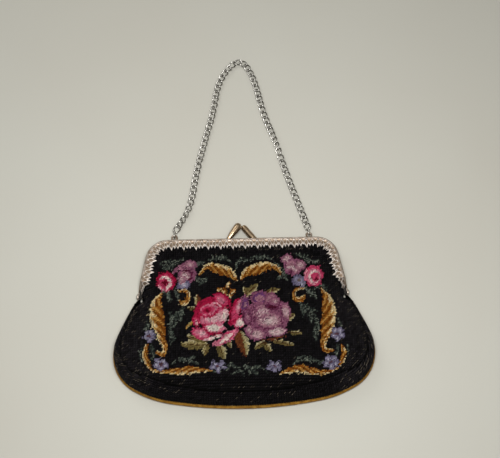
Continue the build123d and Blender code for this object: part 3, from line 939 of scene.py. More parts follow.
scroll(
    ((302.5, 288.6), (298, 288.6), (294.6, 291.5), (294.3, 296), (297, 299.6), (301.5, 299),
     (304.5, 295.8)),
    (1.0, 1.5, 1.7, 1.9, 2.6, 2.6, 1.2), -1, 3,
)
scroll(((146.8, 345), (145.2, 352), (145.8, 359), (150, 368)), (1.4, 2.6, 2.8, 1.5), 1, 2)
scroll(((342.0, 345.2), (343.6, 350), (343.4, 358), (339.6, 365.5)), (1.2, 2.3, 2.8, 1.4), -1, 2)
scroll(
    ((150, 369), (158, 371.3), (168, 371.5), (178, 371.5), (188, 370.2), (199, 370.2), (212, 370.8)),
    (0.8, 1.6, 2.2, 3.0, 4.0, 2.6, 0.7), 1, 6,
)
scroll(
    ((338, 368), (330, 371), (321, 372.4), (311, 371.4), (301, 368.8), (290, 370.2), (280, 373.8)),
    (0.8, 1.6, 2.6, 3.6, 4.2, 2.8, 0.7), -1, 6,
)
tell("scrolls")

# %% Leaves round the roses
leaf((210, 345), (181, 344.5), 6.5, 1)
leaf((208, 342), (186.5, 335.5), 4.0, 1)
leaf((207, 344), (204.5, 355.5), 4.0, 1, teeth=3)
leaf((219, 344), (224.6, 359.5), 5.5, -1)
leaf((228, 340), (231, 348), 3.0, -1, teeth=3)
leaf((239.5, 330), (246.8, 357), 7.2, -1, (rust, rust, khaki[2], khaki[3]), 5)
stripe(((236, 334), (238, 342), (242.5, 350)), (1.8, 2.4, 1.2), rust, (128, 74, 36))
leaf((266, 341), (254.3, 348.5), 4.0, 1)
leaf((264, 342), (270.6, 351.5), 4.2, -1)
leaf((271, 340.5), (294.6, 345), 3.6, -1)
leaf((287, 332), (303, 333.5), 2.6, -1, teeth=5)
leaf((285, 320), (295, 314), 4.4, 1)
leaf((243.5, 297), (258, 284), 5.2, 1)
leaf((247, 296), (244, 286.5), 3.4, -1, teeth=3)
leaf((266, 292), (280, 289), 3.4, 1)
leaf((197, 306), (197.5, 294.5), 4.2, -1, (khaki[0], rust, khaki[2], khaki[3]))
leaf((197, 309), (187, 307.5), 2.4, 1, teeth=3)
stripe(((186.5, 328), (189.5, 324), (193.5, 321.5)), 1.1, gold[2], khaki[2])
crown = (
    (219, 290, 2.2), (223.6, 291.5, 2.2), (227.3, 286, 2.0), (229, 283.3, 1.5), (232.7, 291.6, 2.3),
    (230, 296, 1.7), (225.5, 295, 1.8),
)
for x, y, size in crown:
    petal(x, y, size * 1.25, size, -30, (gold[1], gold[3], gold[2]), (0.3, -0.2))
tell("leaves")

# %% Left rose
petal(211.8, 312.5, 17.0, 15.5, 0, (red[1], red[2], red[2]))
petal(222, 299.6, 10.0, 5.6, 30, (red[1], red[2], red[3], red[3]), (-0.5, 0.3))
petal(204, 302.5, 8.0, 3.4, -18, (red[1], red[1]))
petal(214, 317.5, 13.6, 9.0, 0, (red[3], red[4], red[4]))
petal(209, 310, 11.2, 7.0, -16, (red[1], red[3], red[2], red[1], red[0]), (-0.55, 0.15))
stripe(
    ((199.5, 312), (204, 316.5), (211, 316.5), (217, 312.5), (219.5, 308)),
    (0.8, 1.0, 1.1, 1.2, 0.8), red[1], red[2],
)
stripe(((212, 304), (217, 303.5), (220.5, 306.5)), 1.0, red[3], red[4])
petal(224.4, 315.5, 3.4, 7.6, 12, (red[4], red[5]))
petal(195.6, 321, 3.4, 6.4, -15, (red[1], red[2], red[4]), (0.4, 0.6))
stripe(((198.5, 321), (206, 324.2), (214, 323.4), (224, 322)), (1.0, 1.2, 1.2, 0.8), red[3], red[2])
petal(214.4, 328, 10.8, 4.5, -3, (red[3], red[5], red[5]))
petal(201, 333.8, 10.2, 5.6, 17, (red[2], red[3], red[4]), (0.2, -0.3))
stripe(((203, 326), (208, 332.6), (215, 334), (222, 332.5)), (0.8, 1.2, 1.4, 0.9), red[1])
stripe(((204, 340.2), (212.5, 338), (221, 335.2)), (1.1, 1.7, 1.4), red[4], red[5])
stripe(((236.5, 330.5), (228, 336.8), (217.8, 344)), (2.6, 4.8, 2.6), red[2], red[3])
stripe(((232, 333.5), (226.7, 337.8), (220.5, 343)), (1.0, 2.4, 1.2), red[5], red[4])
petal(216.5, 343.6, 4.2, 2.8, -20, (red[3], red[3]))
petal(235.6, 310.5, 5.0, 12.8, 17, (red[1], red[2], red[2], red[3]), (0.8, 0.2))
petal(238.6, 306.5, 2.6, 7.6, 17, (red[3], red[4]))
petal(240, 322.4, 6.6, 5.4, -20, (red[2], red[4], red[5], red[5]), (0.2, 0.5))
stripe(((230.4, 300), (230.6, 312), (230, 324)), (0.7, 1.0, 1.3), red[0], red[1])
stripe(((231, 325), (236, 319.5), (242, 315.5)), (1.0, 1.2, 0.8), red[1], red[2])
tell("left rose")

# %% Right rose
petal(267.5, 316.5, 21.5, 20.0, 0, (mauve[2], mauve[2], mauve[3]))
petal(244.6, 304, 4.6, 9.2, 8, (mauve[2], plum, mauve[3]), (0.3, 0.6))
petal(247.4, 317, 4.8, 9.4, -5, (mauve[1], mauve[2], mauve[3]), (0.3, 0.3))
petal(259.5, 297.2, 9.4, 6.8, -10, (mauve[2], plum, mauve[3], mauve[3]), (0.2, 0.6))
petal(271, 298.6, 6.4, 6.4, 0, (mauve[2], mauve[3], mauve[3]), (0.0, 0.4))
petal(262, 312.5, 11.4, 10.4, 0, (mauve[2], mauve[3], mauve[4], mauve[4]), (0.4, 0.5))
petal(269.5, 320.5, 13.4, 7.0, 0, (mauve[3], mauve[4], mauve[5]), (-0.2, 0.2))
work((oval(260, 311, 13, 12) < 1) & (chance < 0.24), mauve[2])
work((oval(253, 314, 5, 8) < 1) & (chance > 0.62), mauve[1])
petal(272.5, 306.8, 7.6, 3.4, 8, (mauve[1], mauve[0]))
petal(274.8, 301.4, 5.8, 4.2, 0, (mauve[2], mauve[3], mauve[4]), (0.2, -0.2))
petal(285, 311.5, 6.0, 9.6, -8, (mauve[2], mauve[3], mauve[4], mauve[4]), (0.4, 0.2))
stripe(((280, 303), (281.5, 312), (281, 321)), (1.2, 1.0, 0.7), mauve[1], mauve[2])
petal(256.4, 334, 10.4, 6.4, 10, (mauve[2], mauve[3], mauve[4], mauve[4]), (0.3, 0.2))
petal(249, 329.5, 4.6, 5.2, 0, (mauve[2], mauve[3], mauve[4]), (0.1, 0.2))
petal(277, 331.4, 10.8, 5.2, -3, (mauve[2], mauve[4], mauve[5], mauve[4]), (-0.2, 0.2))
stripe(((251, 325), (262, 328.6), (272, 328.6), (283, 323)), (0.8, 1.3, 1.2, 0.7), mauve[1], mauve[2])
stripe(((262, 340.2), (274, 338.6), (286, 335.6)), (0.8, 1.1, 0.7), (92, 40, 42), rust)
tell("right rose")

# %% Corner flowers
petal(166.2, 281.6, 9.7, 10.0, 0, (red[1], red[2], red[2], red[1]), (-0.2, 0.3))
stripe(
    ((160.5, 279), (165, 277.4), (169.5, 280), (170, 285), (166.5, 288.5)),
    (0.8, 1.3, 1.4, 1.5, 1.0), red[4], red[5],
)
petal(165.4, 283.4, 3.4, 2.4, 0, (red[0], red[0]))
stripe(((158.5, 286), (162, 289.5), (168, 290.6)), 0.9, red[3], red[4])
petal(187, 274.5, 8.6, 10.0, 10, (mauve[2], mauve[3], mauve[3]), (0.2, 0.2))
petal(190, 264.8, 6.8, 4.4, 10, (mauve[2], mauve[3], mauve[4]))
stripe(((173.6, 272.8), (178, 269), (183.5, 266.6)), (1.2, 2.8, 2.2), mauve[3], mauve[2])
stripe(((184, 271), (190, 271.5), (191.6, 277), (187.5, 281)), (1.0, 1.3, 1.3, 0.8), mauve[1], mauve[0])
stripe(((181, 277), (185, 274.5), (187.5, 277.5)), 1.1, mauve[4], mauve[5])
petal(183.6, 285, 7.0, 4.4, -8, (lilac[0], lilac[1], lilac[2]))
petal(181.4, 279.5, 4.0, 4.6, 0, (mauve[3], mauve[4]))
petal(287, 259.2, 6.2, 5.2, 0, (mauve[2], mauve[3], mauve[4], mauve[4]))
petal(293, 267, 9.2, 8.6, 0, (mauve[2], mauve[3], mauve[3], mauve[4]), (0.2, 0.3))
petal(300, 265.2, 6.0, 5.2, 20, (mauve[2], mauve[3], mauve[4], mauve[4]))
petal(290.8, 272, 3.4, 3.2, 0, (mauve[2], mauve[1]))
stripe(((287.5, 268), (292, 267), (295.6, 270.4)), 1.0, mauve[4], mauve[5])
petal(298.6, 280.6, 6.8, 5.2, 0, (lilac[0], lilac[1], lilac[1]))
petal(299.2, 280.2, 1.8, 1.5, 0, ((132, 112, 104),))
petal(302.6, 284, 3.0, 2.4, 0, (lilac[1], lilac[2]))
petal(313.8, 275.8, 9.8, 10.4, 0, (red[2], red[3], red[2], red[2]), (0.2, 0.3))
stripe(
    ((319, 273), (314.5, 271), (310.4, 274), (310.2, 279), (313.5, 282.6)),
    (0.8, 1.3, 1.4, 1.5, 1.0), red[4], red[5],
)
petal(315.8, 278.6, 2.6, 1.8, 0, (red[0], red[0]))
stripe(((318, 280.5), (315, 283.4), (311, 284)), 1.0, red[3], red[4])
stripe(((306.5, 270), (305, 275), (306.5, 280.5)), 1.0, red[4], red[3])
tell("corner flowers")

# %% Lavender flowers
lavender = (
    (149.5, 336, 5.8, 6.8), (160.8, 364.3, 7.6, 5.8), (218.2, 366.2, 8.4, 4.3),
    (274.5, 366.3, 7.4, 4.9), (331.3, 362, 7.8, 6.8), (337.6, 334, 6.8, 6.8),
)
petal_count, first_turn = 5, 18
petal_turns = np.radians(first_turn + 360 // petal_count * np.arange(petal_count))
for x, y, wide, high in lavender:
    petal(x, y, 0.72 * wide, 0.72 * high, 0, (lilac[0], lilac[0]))
    for turn in petal_turns:
        out_x, out_y = wide * np.cos(turn), high * np.sin(turn)
        petal(
            x + 0.55 * out_x, y + 0.55 * out_y, 0.52 * wide, 0.5 * high, np.degrees(turn),
            (lilac[0], lilac[1], lilac[1], lilac[2]), (0.02 * out_x, 0.02 * out_y),
        )
    petal(x, y, 1.9, 1.4, 0, ((104, 70, 80),))
tell("lavender")

# %% Uneven hand work
rows, columns = np.indices(cell_shape)
stray_share = 0.14
stray = rng.random(cell_shape) < stray_share
from_row = np.clip(rows + stray * rng.integers(-1, 2, cell_shape), 0, cell_shape[0] - 1)
from_column = np.clip(columns + stray * rng.integers(-1, 2, cell_shape), 0, cell_shape[1] - 1)
worked, is_ground = worked[from_row, from_column], is_ground[from_row, from_column]
print("worked cells:", int((~is_ground).sum()))

# %% [markdown]
# ## Stitches
# Each stitch is one short slanted strand that dives into the canvas at both ends. A strand is a
# little spindle: three rings of four points and a point at each end. Black ground is worked over
# two canvas threads and the flowers over one, so their stitches are half as long.

# %% A strand and how strands are laid
strand_along = np.array((-0.62, 0.0, 0.62))
strand_wide = np.array((0.82, 1.0, 0.82))
strand_turns = circle(4)
strand = np.vstack((
    np.stack(np.broadcast_arrays(
        strand_along[:, None],
        strand_wide[:, None] * np.cos(strand_turns),
        0.62 * strand_wide[:, None] * np.sin(strand_turns) + 0.45 * (1 - strand_along[:, None] ** 2),
    ), -1).reshape(-1, 3),
    ((-1.0, 0.0, -0.2), (1.0, 0.0, -0.2)),
))
strand_quads = grid_faces(3, 4, wrap_columns=True)
strand_ends = np.vstack((fan_faces(12, np.arange(4))[:, ::-1], fan_faces(13, np.arange(8, 12))))


def lay_strands(name, middles, directions, sizes, shades):
    """Copies the strand to every middle: middle + a L along + b W across + c H up."""
    points = middles[:, None, :]
    for axis, direction in enumerate(directions):
        points = points + strand[None, :, axis, None] * (direction * sizes[:, axis, None])[:, None, :]
    faces = [copied(corners, len(middles), len(strand)) for corners in (strand_quads, strand_ends)]
    piece = put_mesh(name, points, faces, wool)
    tint = np.concatenate((shades, np.ones((len(shades), 1))), 1)
    add_values(piece, "thread", np.repeat(tint, len(strand), 0), "FLOAT_COLOR")
    return piece


def slanted(east, north, slant):
    """Turns the canvas directions by the slant of the stitch: along, across and the normal."""
    up = unit(np.cross(east, north))
    north = np.cross(up, east)
    c, s = np.cos(slant)[:, None], np.sin(slant)[:, None]
    return east * c + north * s, north * c - east * s, up


# %% Which cells are inside the front panel
edge_loop = np.column_stack((loop_x, loop_y))


def inside(x, y):
    """Whether points lie in the closed edge: a line to the right then crosses it an odd number of times."""
    odd = np.zeros(np.shape(x), bool)
    for (x1, y1), (x2, y2) in zip(edge_loop, np.roll(edge_loop, -1, axis=0)):
        crosses = (y1 > y) != (y2 > y)
        where = x1 + (y - y1) * (x2 - x1) / np.where(y2 == y1, 1e-9, y2 - y1)
        odd ^= crosses & (x < where)
    return odd


strip_inset, stitch_margin = 8.0, 2.0
off_strip = frame_gap(cell_x, cell_y) > strip_inset * strip_narrow(cell_y) - stitch_margin
off_seam = seam_gap(cell_x, cell_y) > stitch_margin
in_panel = inside(cell_x, cell_y) & off_strip & off_seam


def pair(grid):
    """The cells of a grid in blocks of two by two."""
    return grid.reshape(cell_shape[0] // 2, 2, cell_shape[1] // 2, 2)


coarse = pair(is_ground & in_panel).all((1, 3))
fine = in_panel & ~np.repeat(np.repeat(coarse, 2, 0), 2, 1)
print("stitches on the front:", int(coarse.sum()), "long,", int(fine.sum()), "short")


def panel_frame(x, y):
    """Point of the front panel and its directions along X and Y, from small steps."""
    step, none = np.full(len(x), 0.5), np.zeros(len(x))
    here = front_height(x, y)
    east = unit(np.column_stack((step, none, front_height(x + step, y) - here)))
    north = unit(np.column_stack((none, step, front_height(x, y + step) - here)))
    return np.column_stack((x, y, panel_height(x, y))), east, north


def vary(count, spread):
    """Numbers near 1, for the unevenness of hand work."""
    return 1 + spread * rng.standard_normal(count)


# %% Front stitches
dash, dash_wide = linear(92, 84, 76), 0.36
dash_share, seam_dash_share, flank_dash_share = 0.012, 0.34, 0.12
sheen_from, sheen_over, flank_dash_from = 66, 20, 78
long_stitch, long_slant = (1.42, 0.7, 0.6), np.radians(42)
short_stitch, short_slant = (0.76, 0.4, 0.5), np.radians(44)
shade_spread, dim_share, dim_shade = 0.17, 0.09, 0.5


def uneven_sizes(count, size, spreads):
    """Half length, half width and height of every strand: one size, and a spread for each of the three."""
    return np.column_stack([part * vary(count, spread) for part, spread in zip(size, spreads)])


def ground_threads(points, gap):
    """Shades of the black wool and widths of its strands, with thin pale dashes along the seam, in two
    rows below the rail and on the flanks; the wool of the flanks is also painted paler, as sheen."""
    count = len(points)
    px, py = in_picture(points)
    flank = np.abs(points[:, 0])
    by_seam = seam_dash_share * ((gap > 3.0) & (gap < 5.2)) * (np.sin(px / 19) > -0.3)
    first_row = 0.55 * ((py > 246) & (py < 250.5) & (px > 225))
    second_row = 0.45 * ((py > 254) & (py < 257.5) & (px > 255) & (px < 280))
    top_rows = (first_row + second_row) * (np.abs(px - 258) < 52)
    by_flank = flank_dash_share * (flank > flank_dash_from)
    shows = rng.random(count) < dash_share + by_seam + top_rows + by_flank
    # Flank wool painted paler: painted sheen of stitches seen at a slant.
    flank_sheen = 1 + 0.9 * np.clip((flank - sheen_from) / sheen_over, 0, 1)
    shades = ground * (flank_sheen * np.clip(vary(count, 0.35), 0.3, 2))[:, None]
    shades[shows] = dash * np.clip(vary(int(shows.sum()), 0.35), 0.3, 1.6)[:, None]
    return shades, np.where(shows, dash_wide, 1.0)


def ground_work(name, middles, east, north, gap, uneven):
    """Long black stitches, all slanted one way, with sizes that vary; uneven is for their height."""
    count = len(middles)
    directions = slanted(east, north, long_slant * vary(count, 0.06))
    shades, thin = ground_threads(middles, gap)
    sizes = uneven_sizes(count, long_stitch, (0.04, 0.07, uneven))
    sizes[:, 1] *= thin
    return lay_strands(name, middles, directions, sizes, shades)


gros_x, gros_y = pair(cell_x).mean((1, 3))[coarse], pair(cell_y).mean((1, 3))[coarse]
gros_gap = seam_gap(gros_x, gros_y)
front_ground = ground_work("front_ground_stitches", *panel_frame(gros_x, gros_y), gros_gap, 0.12)
follow_frame(front_ground)
dress(front_ground)

in_roses = oval(242, 318, 66, 43) < 1
for name, chosen in (("rose_stitches", fine & in_roses), ("border_stitches", fine & ~in_roses)):
    middles, east, north = panel_frame(cell_x[chosen], cell_y[chosen])
    count = len(middles)
    directions = slanted(east, north, short_slant * vary(count, 0.05))
    sizes = uneven_sizes(count, short_stitch, (0.04, 0.06, 0.1))
    uneven = np.clip(vary(count, shade_spread), 0.5, 1.6)
    uneven *= np.where(rng.random(count) < dim_share, dim_shade, 1.0)
    shades = worked[chosen] * uneven[:, None]
    needlework = lay_strands(name, middles, directions, sizes, shades)
    follow_frame(needlework)
    dress(needlework)
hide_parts("front_panel")

# %% Gusset stitches
row_pitch, row_count = 2.0, 16
plain_edge, plain_top = 1.2, 2.2
step_t, step_share = 0.004, 0.01
dense_t = np.linspace(gusset_t[0], gusset_t[-1], 2400)
dense = gusset_point(dense_t, np.full_like(dense_t, 0.5))
walked = np.concatenate(((0,), np.cumsum(np.linalg.norm(np.diff(dense, axis=0), axis=1))))
place_t = np.interp(np.arange(row_pitch, walked[-1] - row_pitch, row_pitch), walked, dense_t)
profile_share = np.linspace(0, 1, 41)
profile = gusset_point(place_t[None, :], profile_share[:, None])
climbed = np.concatenate((
    np.zeros((1, len(place_t))), np.cumsum(np.linalg.norm(np.diff(profile, axis=0), axis=2), axis=0)
))
gusset_rows = []
for row in range(row_count):
    reach = plain_edge + row_pitch * row
    fits = climbed[-1] > reach + plain_top
    share = np.array([np.interp(reach, climbed[:, k], profile_share) for k in np.nonzero(fits)[0]])
    gusset_rows.append(np.column_stack((place_t[fits], share)))
spot_t, spot_share = np.vstack(gusset_rows).T
middles = gusset_point(spot_t, spot_share)
east = unit(gusset_point(spot_t + step_t, spot_share) - gusset_point(spot_t - step_t, spot_share))
north = unit(gusset_point(spot_t, spot_share + step_share) - gusset_point(spot_t, spot_share - step_share))
spot_gap = (1 - spot_share) * (np.interp(spot_t, gusset_t, gusset_seam) - rim_height)
gusset_work = ground_work("gusset_stitches", middles, east, north, spot_gap, 0.1)
dress(gusset_work, "bag", "gusset")

# %% [markdown]
# ## The frame
# The front half is bent from thin plated sheet: a wall, a rounded rim and a narrow flange that
# holds the pierced strip. Its section is carried along the U of the frame, and lowered near the
# hinges, where the arms taper. The back half keeps its solids and gets a more worn plating.


# %% Front rim
def tube_faces(rows, columns):
    """Faces of a tube: quads round it, and one many-sided face at each end."""
    ring = np.arange(columns)[None, :]
    return [grid_faces(rows, columns, wrap_columns=True), ring[:, ::-1], (rows - 1) * columns + ring]


rim_section = np.array((
    (0.0, 9.35), (0.0, 3.4), (0.05, 2.4), (0.25, 1.45), (0.6, 0.7), (1.05, 0.25), (1.5, 0.02), (1.85, 0.1),
    (2.0, 0.4), (1.95, 1.0), (1.6, 1.1), (1.2, 1.5), (0.95, 2.4), (0.85, 3.4), (0.85, 9.35),
))
# Recess values round the rim's section are painted shade: darker down its walls, lightest on its rounded
# top.
shade_corners, shade_shares = (0, 2, 4, 6, 8, 14), (0.85, 0.8, 0.6, 0.4, 0.6, 0.85)
on_frame = rail_y > taper_low
top_here = frame_top(rail_y[on_frame])[:, None]
rim_drop = rim_section[:, 1] * (top_here - parting) / (frame_depth - parting)
rim_points = np.stack((
    rail_x[on_frame][:, None] + rim_section[:, 0] * in_x[on_frame][:, None],
    rail_y[on_frame][:, None] + rim_section[:, 0] * in_y[on_frame][:, None],
    top_here - rim_drop,
), -1)
front_rim = put_mesh("front_rim", rim_points, tube_faces(*rim_points.shape[:2]), frame_silver)
rim_shade = np.interp(np.arange(len(rim_section)), shade_corners, shade_shares)
add_values(front_rim, "recess", np.tile(rim_shade, len(rim_points)))
dress(front_rim, "front_half")

# %% Hinge ears of the front half
ear_radius, ear_reach, ear_inner, ear_outer = 3.1, 9.0, 88.5, 89.7
pin_height, ear_bevel, ear_shrink = 4.0, 0.1, 0.92
ear_turns = np.linspace(np.pi / 2, 3 * np.pi / 2 + 0.6, 22)
ear_line = np.vstack((
    np.column_stack((ear_radius * np.cos(ear_turns), pin_height + ear_radius * np.sin(ear_turns))),
    ((ear_reach, parting), (ear_reach, pin_height + ear_radius)),
))
ear_middle = np.array((ear_reach * 0.3, pin_height + 1.0))
ear_layers = (
    (ear_inner, ear_shrink), (ear_inner + ear_bevel, 1.0),
    (ear_outer - ear_bevel, 1.0), (ear_outer, ear_shrink),
)
ears = []
for side in (-1, 1):
    layers = [
        np.column_stack((np.full(len(ear_line), side * x), ear_middle + shrink * (ear_line - ear_middle)))
        for x, shrink in ear_layers
    ]
    ears.append((np.vstack(layers), tube_faces(len(ear_layers), len(ear_line))))
front_ears = put_mesh("front_hinge_ears", *joined(ears), hinge_shade_plating)
dress(front_ears, "front_half", "front_frame")

# %% [markdown]
# ### The pierced strip
# Inside the rim runs a stamped strip with a saw-toothed edge: one long tooth and two short ones
# in every repeat. The strip is a grid whose far edge follows the teeth. Its lace is two round wires
# that lie on it: one swings across it in a wave, and a thin one follows the teeth.

# %% Strip with teeth
motif_pitch = 10.8
strip_level, strip_low_y = 12.45, 4.6
band_start, band_width = 1.7, 7.8
dish_depth, dish_share, strip_shade_most, strip_shade_reach = 0.35, 1.1, 0.9, 0.8
tooth_places = np.array((0.0, 0.3, 0.4, 0.55, 0.66, 0.8, 0.9, 1.0))
tooth_lengths = np.array((-2.2, 3.0, -1.2, 1.5, -1.3, 1.6, -1.1, -2.2))


def tooth_wave(place):
    """Length of the teeth along the strip: a deep notch, a long tooth and two short ones to a repeat."""
    return np.interp((place / motif_pitch) % 1, tooth_places, tooth_lengths)


strip_run = np.array(frame_run(2400))
strip_run[4] -= strip_run[4].mean()
strip_x, strip_y, strip_in_x, strip_in_y, strip_at = strip_run[:, strip_run[1] > strip_low_y]
band_here = band_width * strip_narrow(strip_y)
band_end = band_here + tooth_wave(strip_at) * strip_narrow(strip_y)


def on_strip(inset, height):
    """Points inset from the frame's line, at a height above the strip, which sinks where the arms taper."""
    level = strip_level - (frame_depth - frame_top(strip_y))
    x = strip_x[:, None] + inset * strip_in_x[:, None]
    y = strip_y[:, None] + inset * strip_in_y[:, None]
    return np.stack((x, y, level[:, None] + height), -1)


share = np.linspace(0, 1, 13)[None, :]
reach = band_start + (band_end[:, None] - band_start) * share
strip_points = on_strip(reach, -dish_depth * np.sin(np.pi * np.clip(share * dish_share, 0, 1)) + 0 * reach)
strip_faces = [grid_faces(*strip_points.shape[:2])]
strip_sheet = put_mesh("gallery_strip", strip_points, strip_faces, frame_silver, closed=False)
# Painted shade on the strip: darkest across its dished middle, none beside the rim and on the teeth.
strip_recess = strip_shade_most * np.sin(np.pi * np.clip(share / strip_shade_reach, 0, 1)) ** 0.6
add_values(strip_sheet, "recess", np.broadcast_to(strip_recess, reach.shape))
thicken(strip_sheet, 0.5)
dress(strip_sheet, "front_half", "front_gallery")

# %% Wires on the strip
wire_turns = circle(6)
wave_thick, wave_height, wave_off, wave_share = 0.62, 0.25, 0.2, 0.35
edge_thick, edge_height, edge_in = 0.36, 0.05, 0.3


def strip_wire(inset, height, thick):
    """A round wire along the strip: circles across it, in the plane of the inward normal and Z."""
    points = on_strip(inset[:, None] + thick * np.cos(wire_turns), height + thick * np.sin(wire_turns))
    return points.reshape(-1, 3), tube_faces(*points.shape[:2])


swing = (band_here - band_start) * wave_share * np.cos(2 * tau * strip_at / motif_pitch)
wave = (band_start + band_here) / 2 + wave_off + swing
lattice = put_mesh("gallery_lattice", *joined((
    strip_wire(wave, wave_height, wave_thick),
    strip_wire(band_end - edge_in, edge_height, edge_thick),
)), frame_silver)
dress(lattice, "front_half")

# %% [markdown]
# ## Clasp and lugs
# The kiss lock is two tapered arms that lean together over the rail and end in rounded tips; one
# stands in front of the other. They are rings of changing radius along a straight line. The lugs
# are small wire rings on the top rail, and the end links hang in them.

# %% Clasp arms
front_foot, front_tip, back_foot, back_tip = -12.5, -3.3, 12.4, 2.4
front_level, back_level = 7.05, 2.95
foot_rise, tip_rise, arm_side_shade = 0.4, 12.9, 0.75
clasp_along = np.array((0.0, 0.06, 0.2, 0.4, 0.6, 0.78, 0.9, 1.0))
slim_arm = np.array((1.5, 1.8, 2.2, 2.7, 3.05, 3.25, 3.35, 3.35))
stout_arm = np.array((2.2, 2.5, 2.7, 2.8, 2.85, 2.85, 2.85, 2.85))
cap_turns = np.radians((20, 40, 58, 74, 86))
arm_turns = circle(24)


def clasp_arm(name, foot, tip, height, clasp_wide, body, node):
    """Rings along the arm: a cone that widens to the tip, then a half ball, and a foot on the rail."""
    start = np.array((foot, frame_rise + foot_rise, height))
    end = np.array((tip, frame_rise + tip_rise, height))
    lean = unit(end - start)
    reach = np.linalg.norm(end - start)
    over = np.cross(lean, (0, 0, 1))
    away = np.concatenate((clasp_along * reach, reach + clasp_wide[-1] * np.sin(cap_turns)))
    wide = np.concatenate((clasp_wide, clasp_wide[-1] * np.cos(cap_turns)))
    ring = np.cos(arm_turns)[:, None] * np.array((0, 0, 1.0)) + np.sin(arm_turns)[:, None] * over
    points = start + away[:, None, None] * lean + wide[:, None, None] * ring[None]
    piece = put_mesh(name, points, tube_faces(len(away), len(arm_turns)), clasp_silver)
    # Painted shade on the arm: darker down its sides and underneath, none on top.
    add_values(piece, "recess", np.tile(arm_side_shade * (1 - np.clip(np.cos(arm_turns), 0, 1)) ** 2, len(away)))
    dress(piece, body, node)


clasp_arm("front_clasp_arm", front_foot, front_tip, front_level, slim_arm, "front_half", "front_clasp")
clasp_arm("back_clasp_arm", back_foot, back_tip, back_level, stout_arm, "bag", "back_clasp")


# %% Rings of round wire
def wire_loop(centres, thick, sides):
    """A closed ring of round wire: circles round the line, one axis pointing out from its middle."""
    ahead = unit(np.roll(centres, -1, 0) - np.roll(centres, 1, 0))
    out = unit(centres - ahead * np.einsum("ij,ij->i", centres, ahead)[:, None])
    over = np.cross(ahead, out)
    turns = circle(sides)[:, None]
    return centres[:, None] + thick * (np.cos(turns) * out[:, None] + np.sin(turns) * over[:, None])


lug_place, lug_rise, lug_height, lug_radius, lug_wire, lug_worn = 60.0, 4.8, 3.2, 2.2, 0.85, 0.55
lug_sides, stem_flat_share = 10, 0.36
stem_rise = np.array((0.0, 0.35, 0.9, 1.6, 2.4))[:, None]
stem_wide = np.array((2.4, 2.2, 1.5, 1.2, 1.1))[:, None]
lug_turns, stem_turns = circle(28), circle(16)
lug_line = lug_radius * np.column_stack((np.cos(lug_turns), np.sin(lug_turns), 0 * lug_turns))
lug_ring = wire_loop(lug_line, lug_wire, lug_sides)
stem = np.stack(np.broadcast_arrays(
    stem_wide * np.cos(stem_turns), stem_rise, stem_flat_share * stem_wide * np.sin(stem_turns),
), -1)
lug_points, lug_faces = joined((
    ((lug_ring + (0, lug_rise, 0)).reshape(-1, 3), [grid_faces(len(lug_turns), lug_sides, True, True)]),
    (stem.reshape(-1, 3), tube_faces(*stem.shape[:2])),
))
for name, side in (("left_chain_lug", -1), ("right_chain_lug", 1)):
    foot = np.array((side * lug_place, frame_rise, lug_height))
    lug = put_mesh(name + "_ring", lug_points + foot, lug_faces, frame_silver)
    add_values(lug, "recess", np.full(len(lug_points), lug_worn))
    dress(lug, "bag", name)

# %% [markdown]
# ## The chain
# A curb chain: every link is an oval of wire twisted so that the links lie flat, one through the
# next. The links follow a smooth line through the points where the chain lies, evenly spaced.

# %% Line of the chain
link_count = 63
chain_places = np.array((
    (-57.9, 63.2), (-48.0, 81.1), (-42.0, 109.0), (-33.6, 147.0), (-22.8, 192.0), (-15.0, 221.2),
    (1.8, 237.0), (14.4, 218.1), (21.6, 187.1), (33.0, 149.9), (42.6, 116.0), (52.8, 83.8), (58.9, 63.8),
))
chain_line = spline_through(chain_places, 1500)
chain_at = np.concatenate(((0,), np.cumsum(np.hypot(*np.diff(chain_line, axis=0).T))))
link_share = np.arange(link_count) / (link_count - 1)
link_at = link_share * chain_at[-1]
link_x, link_y = (np.interp(link_at, chain_at, values) for values in chain_line.T)
link_dx, link_dy = (np.interp(link_at, chain_at, np.gradient(values)) for values in chain_line.T)
heading = np.arctan2(link_dy, link_dx)[:, None]
print("chain", round(chain_at[-1], 1), "mm,", round(chain_at[-1] / (link_count - 1), 2), "mm to a link")

# %% Links
link_long, link_wide, link_twist, link_wire = 4.0, 2.55, 1.1, 0.62
chain_level, sink_share, link_under_shade = 1.85, 0.06, 0.6
link_corners, link_sides = 20, 8
turns = circle(link_corners, 0.5)
link_line = np.column_stack((
    link_long * np.cos(turns), link_wide * np.sin(turns), link_twist * np.sin(2 * turns),
))
link_skin = wire_loop(link_line, link_wire, link_sides).reshape(-1, 3)
skin_x, skin_y, skin_z = link_skin.T
roll_spread = 7
tilted = ((1, (62, 70, 58, 50, 34, 16)), (16, (24, 42, 26)), (45, (18, 38, 50, 52, 38, 18)))
roll = np.radians(roll_spread) * rng.standard_normal(link_count)
for first, tilts in tilted:
    roll[first:first + len(tilts)] += np.radians(tilts)
rise = np.maximum(np.maximum(1 - link_share / sink_share, 1 - (1 - link_share) / sink_share), 0)
lowest = link_wire + link_wide * np.abs(np.sin(roll)) + link_twist * np.cos(roll)
link_z = np.maximum(chain_level + rise * (lug_height - chain_level), lowest)
roll = roll[:, None]
rolled_y = skin_y * np.cos(roll) - skin_z * np.sin(roll)
rolled_z = skin_y * np.sin(roll) + skin_z * np.cos(roll)
chain_points = np.stack((
    link_x[:, None] + skin_x * np.cos(heading) - rolled_y * np.sin(heading),
    link_y[:, None] + skin_x * np.sin(heading) + rolled_y * np.cos(heading),
    link_z[:, None] + rolled_z,
), -1)
chain_faces = [copied(grid_faces(link_corners, link_sides, True, True), link_count, len(link_skin))]
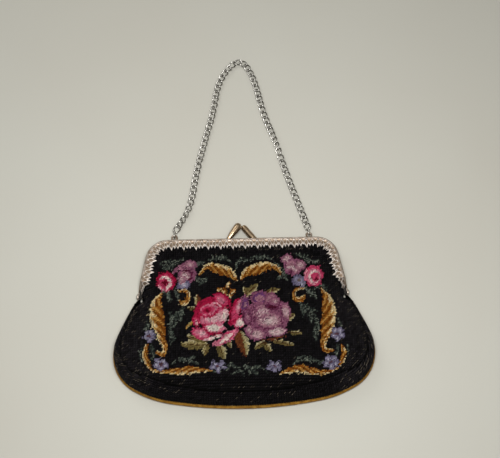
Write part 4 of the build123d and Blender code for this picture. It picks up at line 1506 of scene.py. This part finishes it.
chain = put_mesh("curb_chain", chain_points, chain_faces, chain_silver)
# Painted shade on each link: darker towards its underside, brightest on top.
add_values(chain, "recess", np.tile(link_under_shade * (skin_z.max() - skin_z) / np.ptp(skin_z), link_count))
dress(chain, "chain_handle", "chain")

# %% End links
end_bend, end_straight = 2.05, 2.6
end_turns = circle(24, 0.5)
end_line = np.column_stack((
    0 * end_turns,
    np.sign(np.cos(end_turns)) * end_straight / 2 + end_bend * np.cos(end_turns),
    end_bend * np.sin(end_turns),
))
end_skin = wire_loop(end_line, link_wire, link_sides)
end_faces = [grid_faces(len(end_turns), link_sides, True, True)]
end_y = frame_rise + lug_rise + lug_radius + end_straight / 2
for name, side in (("left_end_link", -1), ("right_end_link", 1)):
    middle = np.array((side * lug_place, end_y, lug_height))
    end_link = put_mesh(name + "_wire", end_skin + middle, end_faces, chain_silver)
    dress(end_link, "chain_handle", name)

# %% [markdown]
# ## Solids that stay as they are
# The back half of the frame, its strip, the hinge rivets and the packing cords have the right
# shape already, so they only get their finish.

# %% Finishes on the solids
for node, finish in (
    ("back_frame", back_silver), ("back_gallery", back_silver), ("left_hinge_rivet", hinge_shade_plating),
    ("right_hinge_rivet", hinge_shade_plating), ("front_packing_cord", paper), ("back_packing_cord", paper),
):
    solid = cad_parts[node]
    solid.data.materials.clear()
    solid.data.materials.append(finish)
    print(node, "has", finish.name)

# %% [markdown]
# ## Cloth as it was cut
# Front, gusset, back and linings are sheets of cloth. The table gives the width and length of each cut, its
# area, because none of them is a rectangle, and what holds it; only the width and length are printed.

# %% Flat sizes
for sheet, flat, area, held_by in (
    (front_canvas, (0.218, 0.150), 0.0257, ["front_rim"]),
    (gusset_canvas, (0.345, 0.030), 0.0067, ["front_canvas", "back_cloth"]),
    (back_cloth, (0.228, 0.156), 0.0292, ["back_frame"]),
    (front_satin, (0.206, 0.142), 0.0226, ["front_rim"]),
    (back_satin, (0.214, 0.146), 0.0243, ["back_frame"]),
):
    print(sheet.name, "cut", flat, "m")
